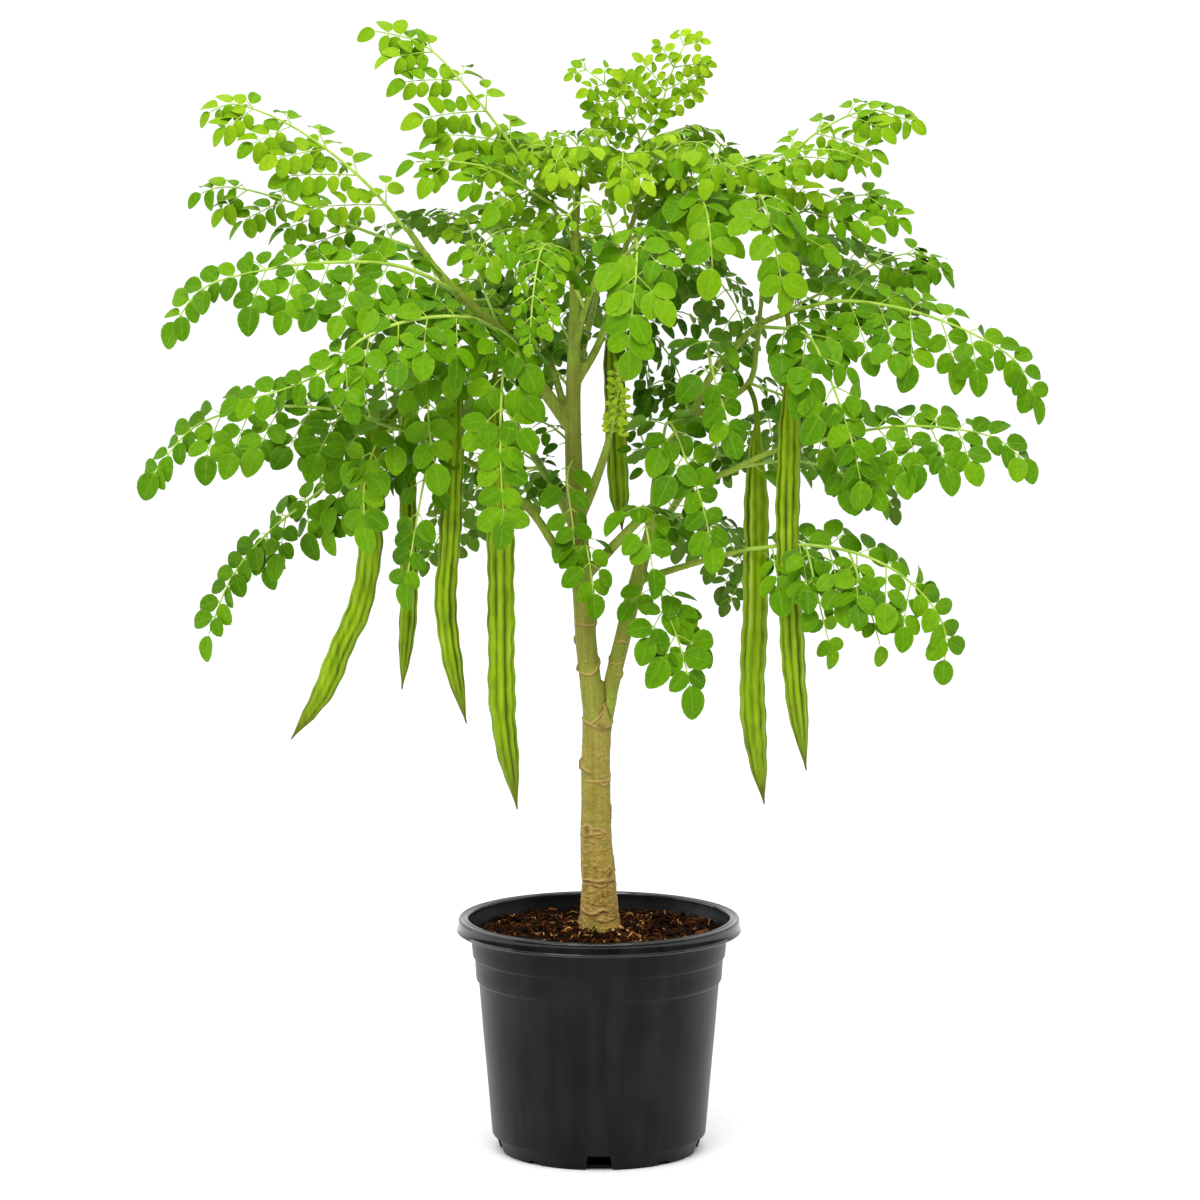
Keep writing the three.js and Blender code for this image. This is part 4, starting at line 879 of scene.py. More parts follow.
def lay_line(limb, finish, half_width, proud, line):
    """Raises one line on the unrolled bark, marks its finish and paints a shadow under it."""
    levels = [point[1] for point in line]
    there = on_fork if limb == "fork" else limb_here == limb
    there = there & (skin[:, 2] > min(levels) - LINE_MARGIN) & (skin[:, 2] < max(levels) + LINE_MARGIN)
    there = np.flatnonzero(there)
    arc, level = (skin[there, 0] if limb == "fork" else arc_here[there]), skin[there, 2]
    best, below = np.full(len(there), 99.0), np.zeros(len(there))
    for (a, low), (b, high) in zip(line, line[1:]):
        span = max((b - a) ** 2 + (high - low) ** 2, 1e-6)
        share = np.clip(((arc - a) * (b - a) + (level - low) * (high - low)) / span, 0, 1)
        off_arc, off_level = arc - a - share * (b - a), level - low - share * (high - low)
        distance = np.hypot(off_arc, off_level)
        nearer = distance < best
        best[nearer], below[nearer] = distance[nearer], -off_level[nearer]
    ridge = np.exp(-(best / half_width) ** 2)
    # The shadow is painted only below a line, as light comes from above.
    painted_shadow = np.exp(-((best - PAINTED_SHADOW_OFF * half_width) / (PAINTED_SHADOW_WIDE * half_width)) ** 2)
    painted_shadow = painted_shadow * (below > 0.6 * best)
    rise[there] += proud * ridge * (np.abs(rise[there]) < FULL_RISE)
    strength = STRONG if half_width < WIDE else FAINT
    marks_on_bark[finish][there] = np.maximum(marks_on_bark[finish][there], strength * ridge)
    # Knots and the shadow painted under a line share the dark mark.
    marks_on_bark["dark"][there] = np.maximum(marks_on_bark["dark"][there], PAINTED_SHADOW * painted_shadow)


for limb, finish, half_width, proud, line in BARK_LINES:
    lay_line(limb, finish, half_width, proud, [unrolled(limb, across, up) for across, up in line])
print("lines on the bark:", len(BARK_LINES))

# %% [markdown]
# Between the rings the bark has short wrinkles and pale flecks, which nobody would place one by one.
# They are drawn at random, most of them low down where the bark is oldest. Noise then makes thick wood
# slightly lumpy, and a little green film grows on the trunk's foot, where it stays damp.

# %% Wrinkles and the finished wood
WRINKLE_COUNT, FLECK_COUNT, FLECK = 84, 60, 0.6  # the last in mm, half a fleck's length
FORK_LEVEL = 428  # mm, where the trunk ends
WRINKLES_FROM, WRINKLE_SPAN, FLECK_SPAN = 228, 105, 300  # mm: where both start, and how far up each goes
bark_rng = np.random.default_rng(3)
for index in range(WRINKLE_COUNT + FLECK_COUNT):
    wrinkle = index < WRINKLE_COUNT
    level = WRINKLES_FROM + (WRINKLE_SPAN if wrinkle else FLECK_SPAN) * bark_rng.uniform(0, 1) ** 1.3
    limb = "trunk" if level < FORK_LEVEL else ("left stem", "right stem")[index % 2]
    radius = 16 if limb == "trunk" else 10
    arc = bark_rng.uniform(-3.1, 3.1) * radius
    half_length = bark_rng.uniform(0.8, 3.6) if wrinkle else FLECK
    ends = [(arc - half_length, level + bark_rng.normal(0, 0.8)), (arc, level + bark_rng.normal(0, 0.6)),
            (arc + half_length, level + bark_rng.normal(0, 0.8))]
    lay_line(limb, "cork", bark_rng.uniform(0.5, 0.9), bark_rng.uniform(0.2, 0.5), ends)
rough = np.array([noise.noise(Vector((p[0] / 9, p[1] / 9, p[2] / 4))) for p in skin])
film = np.exp(-(((skin[:, 0] + 9) / 9) ** 2 + ((skin[:, 2] - 229) / 5) ** 2)) * (skin[:, 1] < 0)
youth_mark = np.maximum(youth_mark, 0.8 * film * (rough > -0.1))
bark_depth = np.interp(radius_here, [3, 9, 18], [0.0, 0.15, 0.5])
skin = skin + outward * (rise + rough * bark_depth)[:, None]
add_piece("moringa_wood", skin, skin_faces, [bark], "bark", replaced=["trunk_and_branches"],
          marks={"youth": youth_mark, **marks_on_bark})
print("share of corky points:", round(float((marks_on_bark["cork"] > 0.3).mean()), 3))

# %% [markdown]
# A moringa pod is a long three-sided capsule with nine ribs. Rib crests are pale yellow-green and the
# grooves between them are deep green, and the neck and the beak dry to a dull brown. A finish painted
# by height alone would look striped, so two patterns break it: long streaks, 4 mm wide, and blotches of
# 11 by 29 mm. It reads two marks on the points: how high a point stands on its rib, and how far the
# skin has dried. Pod skin is satin, so its roughness is 0.42.

# %% Ribbed green pod skin
POD_STREAK, POD_BLOTCH = (3.846, 3.846, 71.43), (11.11, 11.11, 29.41)  # mm: two ways across and up

pod_skin, tree = new_material("ribbed_green_pod_skin")
place = add_node(tree, "ShaderNodeTexCoord").outputs["Object"]
crest, dried = (add_node(tree, "ShaderNodeAttribute", attribute_name=mark).outputs["Fac"]
                for mark in ("crest", "dried"))
height, patterns = crest, []
for sizes, depth in ((POD_STREAK, 0.8), (POD_BLOTCH, 0.75)):
    drawn_out = add_node(tree, "ShaderNodeMapping", {
        "Vector": place, "Scale": [METRE / size for size in sizes]})
    pattern = add_node(tree, "ShaderNodeTexNoise", {
        "Vector": drawn_out.outputs[0], "Scale": 1.0, "Detail": 3.0})
    uneven = add_node(tree, "ShaderNodeMath", {0: pattern.outputs["Fac"], 1: 0.5}, operation="SUBTRACT")
    height = add_node(tree, "ShaderNodeMath", {0: uneven.outputs[0], 1: depth, 2: height},
                      operation="MULTIPLY_ADD").outputs[0]
    patterns.append(pattern)
ribs = add_node(tree, "ShaderNodeValToRGB", {"Fac": height}, stops=[
    (0.04, "#424d0a"), (0.26, "#5f7906"), (0.54, "#7c9d06"), (0.8, "#8da81c"), (1.0, "#a9b84c")])
browned = add_node(tree, "ShaderNodeMix", {0: dried, 6: ribs.outputs[0], 7: linear("#4c4a18")},
                   data_type="RGBA")
bump = add_node(tree, "ShaderNodeBump", {
    "Height": patterns[0].outputs["Fac"], "Strength": 0.25, "Distance": 0.0008})
bsdf = add_node(tree, "ShaderNodeBsdfPrincipled", {
    "Base Color": browned.outputs[2], "Normal": bump.outputs[0], "Roughness": 0.42, "IOR": 1.45,
    "Specular IOR Level": 0.12})
add_node(tree, "ShaderNodeOutputMaterial", {"Surface": bsdf.outputs[0]})
print("streaks per metre round a pod:", round(METRE / POD_STREAK[0]))

# %% [markdown]
# The pods hang by thin necks from the branches and curve a little under their own weight. Each route
# runs from the wood to the tip of the beak. A pod's form is the same on all of them, so it is given once
# as shares of the pod's length and of its fullest radius.

# %% Routes and form of the pods
# Each pod: its fullest radius in mm, then its route as across, up and depth.
PODS = {
    "pod_1": (12, [
        (-183, 767, -11), (-198, 742, -14), (-216, 722, -20), (-227, 697, -24), (-231, 650, -24),
        (-229, 600, -24), (-240, 540, -24), (-258, 500, -24), (-276, 456, -24), (-307, 409, -24)]),
    "pod_2": (9, [
        (-170, 778, -12), (-180, 766, 4), (-191, 742, 12), (-193, 712, 14), (-191, 640, 14),
        (-190, 547, 14), (-194, 490, 14), (-197, 459, 14)]),
    "pod_3": (11, [
        (-139, 850, -36), (-144, 826, -42), (-144, 780, -44), (-146, 700, -44), (-150, 600, -44),
        (-154, 547, -44), (-147, 487, -44), (-133, 425, -44)]),
    "pod_4": (13.5, [
        (-92, 811, -26), (-98, 794, -42), (-104, 770, -50), (-104, 730, -52), (-99, 640, -52),
        (-98, 520, -52), (-96, 430, -52), (-82, 339, -52)]),
    "pod_5": (13, [
        (149, 762, 8), (155, 748, -4), (158, 728, -10), (157, 700, -12), (157, 620, -12),
        (156, 540, -12), (153, 450, -12), (157, 400, -12), (165, 344, -12)]),
    "pod_6": (12, [
        (188, 834, -28), (190, 818, -44), (191, 780, -52), (190, 700, -54), (188, 620, -54),
        (192, 520, -54), (197, 450, -54), (207, 378, -54)]),
    "pod_7": (11, [
        (12, 846, 16), (14, 800, 40), (16, 740, 46), (17, 700, 46), (20, 650, 46), (23, 618, 46)]),
}
# Radius along a pod as a share of its fullest: a neck, a long body and a beak.
POD_FORM = [(0, 0), (0.1, 0.2), (0.16, 0.52), (0.24, 0.86), (0.34, 1.0), (0.78, 1.0), (0.87, 0.86),
            (0.93, 0.58), (0.966, 0.28), (0.984, 0.14), (1.0, 0.05)]
# Across one rib, from its crest round to the next: how high it stands and how pale it is.
RIB_HEIGHT = (1.0, 0.86, 0.5, 0.0, 0.5, 0.86)
RIB_PALENESS = (0.8, 0.52, 0.4, 0.08, 0.4, 0.54)
print("pods:", len(PODS))

# %% [markdown]
# A pod is a tube along its route. Nine ribs shape its rings, each rib a little stronger or weaker than
# the next. Shallow pinches every 27 mm, the distance between two seeds, and slower swellings run down
# it. Ribs could be a bump as well, but on so thick a pod they show in its outline. Rings stand 4 mm
# apart, close enough for the pinches to read as waves.

# %% Pods
POD_RIBS, GROOVE = 9, 0.12  # the groove's depth as a share of the radius
SEED_SPACING, SWELL_SPACING, RING_SPACING = 27, 71, 4  # mm
POD_STALK, POD_TIP = 2.7, 0.9  # radii in mm
PINCH, SWELL, OUT_OF_ROUND = 0.042, 0.035, 0.03  # as shares of the radius
RIB_STRENGTHS = (0.45, 1.25)
MID_PALENESS, FADING = 0.52, 0.35
pod_sides = POD_RIBS * len(RIB_HEIGHT)
turn = 2 * math.pi * np.arange(pod_sides) / pod_sides
height, paleness = np.tile(RIB_HEIGHT, POD_RIBS), np.tile(RIB_PALENESS, POD_RIBS)
pod_rng = np.random.default_rng(5)
for name, (radius, route) in PODS.items():
    line = smooth_line([read_place(*point) for point in route])
    length = line[1][-1]
    shares = np.linspace(0, 1, int(length / RING_SPACING))
    form = np.interp(shares, *zip(*POD_FORM))
    waves = 1 + PINCH * np.sin(2 * math.pi * shares * length / SEED_SPACING + pod_rng.uniform(0, 6))
    waves *= 1 + SWELL * np.sin(2 * math.pi * shares * length / SWELL_SPACING + pod_rng.uniform(0, 6))
    body = np.clip((form - 0.3) / 0.4, 0, 1)  # 1 where the pod is full and 0 on its neck and beak
    widths = np.maximum(POD_STALK * (1 - shares) + POD_TIP * shares,
                        radius * form * (1 + (waves - 1) * body))
    strength = np.repeat(pod_rng.uniform(*RIB_STRENGTHS, POD_RIBS), len(RIB_HEIGHT))
    uneven = 1 + OUT_OF_ROUND * np.sin(3 * turn[None, :] + 2 * shares[:, None])
    section = (1 - GROOVE * body[:, None] * strength * (1 - height)) * uneven
    points, faces = tube(place_on(line, shares), widths, pod_sides, tips=(0.3, 3.0), section=section)
    fading = 1 + FADING * np.sin(7 * shares[:, None] + 2.4 * turn[None, :].round(1))
    shown = MID_PALENESS + (paleness - MID_PALENESS) * strength * fading
    crest_mark = np.concatenate([(shown * body[:, None] + 0.4 * (1 - body[:, None])).ravel(), [0.3, 0.1]])
    dryness = np.interp(shares, [0, 0.06, 0.2, 0.82, 0.95, 1], [0.3, 0.3, 0.0, 0.0, 0.4, 0.9])
    dried_mark = np.concatenate([np.repeat(dryness, pod_sides), [0.6, 0.9]])
    add_piece(f"moringa_{name}", points, faces, [pod_skin], "pod_skin", replaced=[name],
              marks={"crest": crest_mark, "dried": dried_mark})
    print(name, "length in mm:", round(length), "faces:", len(faces))

# %% [markdown]
# A leaflet is thin and soft. Light comes through it as well as off it, which is why the crown glows
# yellow-green where leaves overlap. Subsurface scattering would show that too, but on a blade this thin
# a share of translucency does it in far less time. Its colour runs from deep green in old, shaded leaves
# to lime in the youngest, and a tone mark on each leaflet picks the place in that range. A pale midrib
# and side veins cross it, the margin is painted slightly paler as light catching the curved edge, and
# the underside is greyer. A real midrib is 0.3 mm wide and a side vein 0.1 mm. They are drawn at about
# 1 mm and 0.4 mm, as they would not show.

# %% Soft moringa leaflet
LEAF_CELLS = 3.846  # mm
SIDE_VEINS, VEIN_SLANT = 7.0, -0.28  # side veins along a leaflet, and how far they sweep forward

leaf, tree = new_material("soft_moringa_leaflet")
marks = add_node(tree, "ShaderNodeAttribute", attribute_name="leaflet").outputs["Vector"]
along, across, tone = add_node(tree, "ShaderNodeSeparateXYZ", {0: marks}).outputs
under = add_node(tree, "ShaderNodeAttribute", attribute_name="underside").outputs["Fac"]
place = add_node(tree, "ShaderNodeTexCoord").outputs["Object"]
cells = add_node(tree, "ShaderNodeTexNoise", {"Vector": place, "Scale": METRE / LEAF_CELLS, "Detail": 3.0})
uneven = add_node(tree, "ShaderNodeMath", {0: cells.outputs["Fac"], 1: 0.3, 2: tone},
                  operation="MULTIPLY_ADD")
tint = add_node(tree, "ShaderNodeValToRGB", {"Fac": uneven.outputs[0]}, stops=[
    (0.12, "#325802"), (0.34, "#4d8203"), (0.54, "#689f05"), (0.82, "#95bf14"), (1.0, "#c2dc34")])
from_rib = add_node(tree, "ShaderNodeMath", {0: across}, operation="ABSOLUTE").outputs[0]
midrib = add_node(tree, "ShaderNodeMapRange", {
    "Value": from_rib, "From Min": 0.02, "From Max": 0.1, "To Min": 0.2, "To Max": 0.0})
slant = add_node(tree, "ShaderNodeMath", {0: from_rib, 1: VEIN_SLANT, 2: along}, operation="MULTIPLY_ADD")
spaced = add_node(tree, "ShaderNodeMath", {0: slant.outputs[0], 1: SIDE_VEINS}, operation="MULTIPLY")
saw = add_node(tree, "ShaderNodeMath", {0: spaced.outputs[0]}, operation="FRACT")
vein = add_node(tree, "ShaderNodeMapRange", {
    "Value": saw.outputs[0], "From Min": 0.0, "From Max": 0.22, "To Min": 0.07, "To Max": 0.0})
# The paler margin is a painted highlight: light catching the leaflet's curved edge.
margin = add_node(tree, "ShaderNodeMapRange", {
    "Value": from_rib, "From Min": 0.8, "From Max": 1.0, "To Min": 0.0, "To Max": 0.18})
foot = add_node(tree, "ShaderNodeMapRange", {
    "Value": along, "From Min": 0.06, "From Max": 0.16, "To Min": 0.6, "To Max": 0.0})
pale = midrib.outputs[0]
for line in (vein, margin, foot):
    pale = add_node(tree, "ShaderNodeMath", {0: pale, 1: line.outputs[0]}, operation="MAXIMUM").outputs[0]
veined = add_node(tree, "ShaderNodeMix", {0: pale, 6: tint.outputs[0], 7: linear("#a8c848")},
                  data_type="RGBA")
backed = add_node(tree, "ShaderNodeMath", {0: under, 1: 0.4}, operation="MULTIPLY")
both = add_node(tree, "ShaderNodeMix", {
    0: backed.outputs[0], 6: veined.outputs[2], 7: linear("#7ea23a")}, data_type="RGBA")
bump = add_node(tree, "ShaderNodeBump", {"Height": pale, "Strength": 0.35, "Distance": 0.0006}, invert=True)
blade = add_node(tree, "ShaderNodeBsdfPrincipled", {
    "Base Color": both.outputs[2], "Normal": bump.outputs[0], "Roughness": 0.48, "IOR": 1.42,
    "Specular IOR Level": 0.12})
through = add_node(tree, "ShaderNodeBsdfTranslucent", {"Color": both.outputs[2]})
thin = add_node(tree, "ShaderNodeMixShader", {0: 0.22, 1: blade.outputs[0], 2: through.outputs[0]})
add_node(tree, "ShaderNodeOutputMaterial", {"Surface": thin.outputs[0]})
print("side veins on a leaflet:", SIDE_VEINS)

# %% [markdown]
# Leaf stalks are pale and juicy, lighter than the leaflets they carry, with a smooth skin that shines a
# little. At one or two millimetres they are too thin to show grain, so a slow change from yellow-green
# to green, 25 mm long, is enough, and veins or hairs would be work that nobody sees.

# %% Juicy leaf stalk
STALK_PATCH = 25  # mm

stalk_skin, tree = new_material("juicy_leaf_stalk")
place = add_node(tree, "ShaderNodeTexCoord").outputs["Object"]
patches = add_node(tree, "ShaderNodeTexNoise", {
    "Vector": place, "Scale": METRE / STALK_PATCH, "Detail": 3.0})
tint = add_node(tree, "ShaderNodeValToRGB", {"Fac": patches.outputs["Fac"]},
                stops=[(0.3, "#86ad2c"), (0.7, "#b3cf57")])
bsdf = add_node(tree, "ShaderNodeBsdfPrincipled", {
    "Base Color": tint.outputs[0], "Roughness": 0.4, "IOR": 1.42, "Specular IOR Level": 0.25})
add_node(tree, "ShaderNodeOutputMaterial", {"Surface": bsdf.outputs[0]})
print("patches per metre of stalk:", METRE / STALK_PATCH)

# %% [markdown]
# Thousands of leaflets share one form, so that form is made once, with a length of one. Those at the
# side of a spray have few faces, and the larger one at its end has more. It is a closed blade of two
# skins that meet at the margin: oval, rounded at the foot and drawn to a soft point. Its fold along the
# midrib and its droop are kept apart from the flat shape, so that each leaflet can take its own.

# %% The leaflet's form
# Rows across a leaflet: share of its length, and half its width as a share of its widest.
SIDE_ROWS = [(0.08, 0.07), (0.15, 0.52), (0.31, 0.9), (0.53, 1.0), (0.76, 0.84), (0.92, 0.5)]
END_ROWS = [(0.06, 0.06), (0.11, 0.4), (0.22, 0.77), (0.38, 0.98), (0.56, 1.0), (0.74, 0.85), (0.88, 0.57),
            (0.965, 0.28)]
SIDE_HALF, END_HALF = 0.36, 0.355  # half the width at the widest, as a share of the length
LANES = np.array([-1.0, -0.52, 0.0, 0.52, 1.0])
HALF_THICK = 0.16  # mm at the midrib


def leaflet_form(rows, half_width):
    """A leaflet's flat shape, its fold and droop, its skins, faces and marks."""
    points, skins, marks = [(0.0, 0.0)], [0.0], [(0.0, 0.0)]
    top, bottom = [], []
    for along, width in rows:
        top_row, bottom_row = [], []
        for lane in LANES:
            margin = abs(lane) == 1
            top_row.append(len(points))
            points.append((lane * width * half_width, along))
            skins.append(0.0 if margin else HALF_THICK * (1 - 0.5 * abs(lane)))
            marks.append((along, lane))
        for lane, above in zip(LANES, top_row):
            if abs(lane) == 1:
                bottom_row.append(above)
                continue
            bottom_row.append(len(points))
            points.append((lane * width * half_width, along))
            skins.append(-HALF_THICK * (1 - 0.5 * abs(lane)))
            marks.append((along, lane))
        top.append(top_row)
        bottom.append(bottom_row)
    tip = len(points)
    points.append((0.0, 1.0))
    skins.append(0.0)
    marks.append((1.0, 0.0))
    faces, under = [], []
    for grid, flip in ((top, False), (bottom, True)):
        made = [(0, grid[0][j + 1], grid[0][j]) for j in range(4)]
        for low, high in zip(grid, grid[1:]):
            made += [(low[j], low[j + 1], high[j + 1], high[j]) for j in range(4)]
        made += [(tip, grid[-1][j], grid[-1][j + 1]) for j in range(4)]
        faces += [face[::-1] for face in made] if flip else made
        under += [float(flip)] * len(made)
    points, marks = np.array(points), np.array(marks)
    margin = (np.abs(marks[:, 1]) == 1) | np.isin(np.arange(len(points)), (0, tip))
    return {"flat": points, "fold": np.abs(points[:, 0]), "droop": -points[:, 1] ** 2,
            "skin": np.array(skins), "marks": marks, "faces": faces, "under": under, "margin": margin}


side_form, end_form = leaflet_form(SIDE_ROWS, SIDE_HALF), leaflet_form(END_ROWS, END_HALF)
# One face of the upper skin is checked: its normal has to point up.
a, b, c = (np.array([*side_form["flat"][corner], 0]) for corner in side_form["faces"][5][:3])
print("leaflet faces:", len(side_form["faces"]), "up:", np.cross(b - a, c - a)[2] > 0)

# %% [markdown]
# A leaflet is set by its root, the way it points and the way its upper side looks. Copies of an object
# would do for a few, but a crown has four thousand. Here the leaflets of a frond are worked out together
# as one array, which takes no longer than one of them, and they end up in the frond's own mesh.

# %% Setting leaflets in place
UP = np.array([0.0, 0.0, 1.0])


def set_leaflets(form, roots, headings, faces_up, lengths, folds, droops):
    """All leaflets of one form in place, as an array of leaflets by points."""
    right = np.cross(headings, faces_up)
    flat, length = form["flat"], lengths[:, None, None]
    rise = folds[:, None] * form["fold"] + droops[:, None] * form["droop"]
    shape = flat[None, :, :1] * right[:, None] + flat[None, :, 1:] * headings[:, None]
    shape = shape + rise[..., None] * faces_up[:, None]
    return roots[:, None] + length * shape + form["skin"][None, :, None] * faces_up[:, None]


folded = set_leaflets(end_form, np.zeros((1, 3)), np.array([[0.0, 1.0, 0.0]]), UP[None],
                      np.array([30.0]), np.array([0.3]), np.array([0.2]))
print("a 30 mm leaflet, folded and drooping, spans in mm:", np.ptp(folded[0], axis=0).round(1))

# %% [markdown]
# A moringa frond is compound twice over. Its stalk arches out and nods at the tip. Side sprays stand on
# it in pairs: those on the open side hang with their leaflets flat to the light, and those on the far
# side are mostly shorter and turn away. Each spray is a thin rib with a bare foot, a few pairs of
# leaflets and a larger one at its end. Towards the frond's tip the sprays give way to single leaflets.
# Each frond below has a habit, the reach of its sprays in mm, a tone from 0, old and shaded, to 1, newly
# opened, and a route.

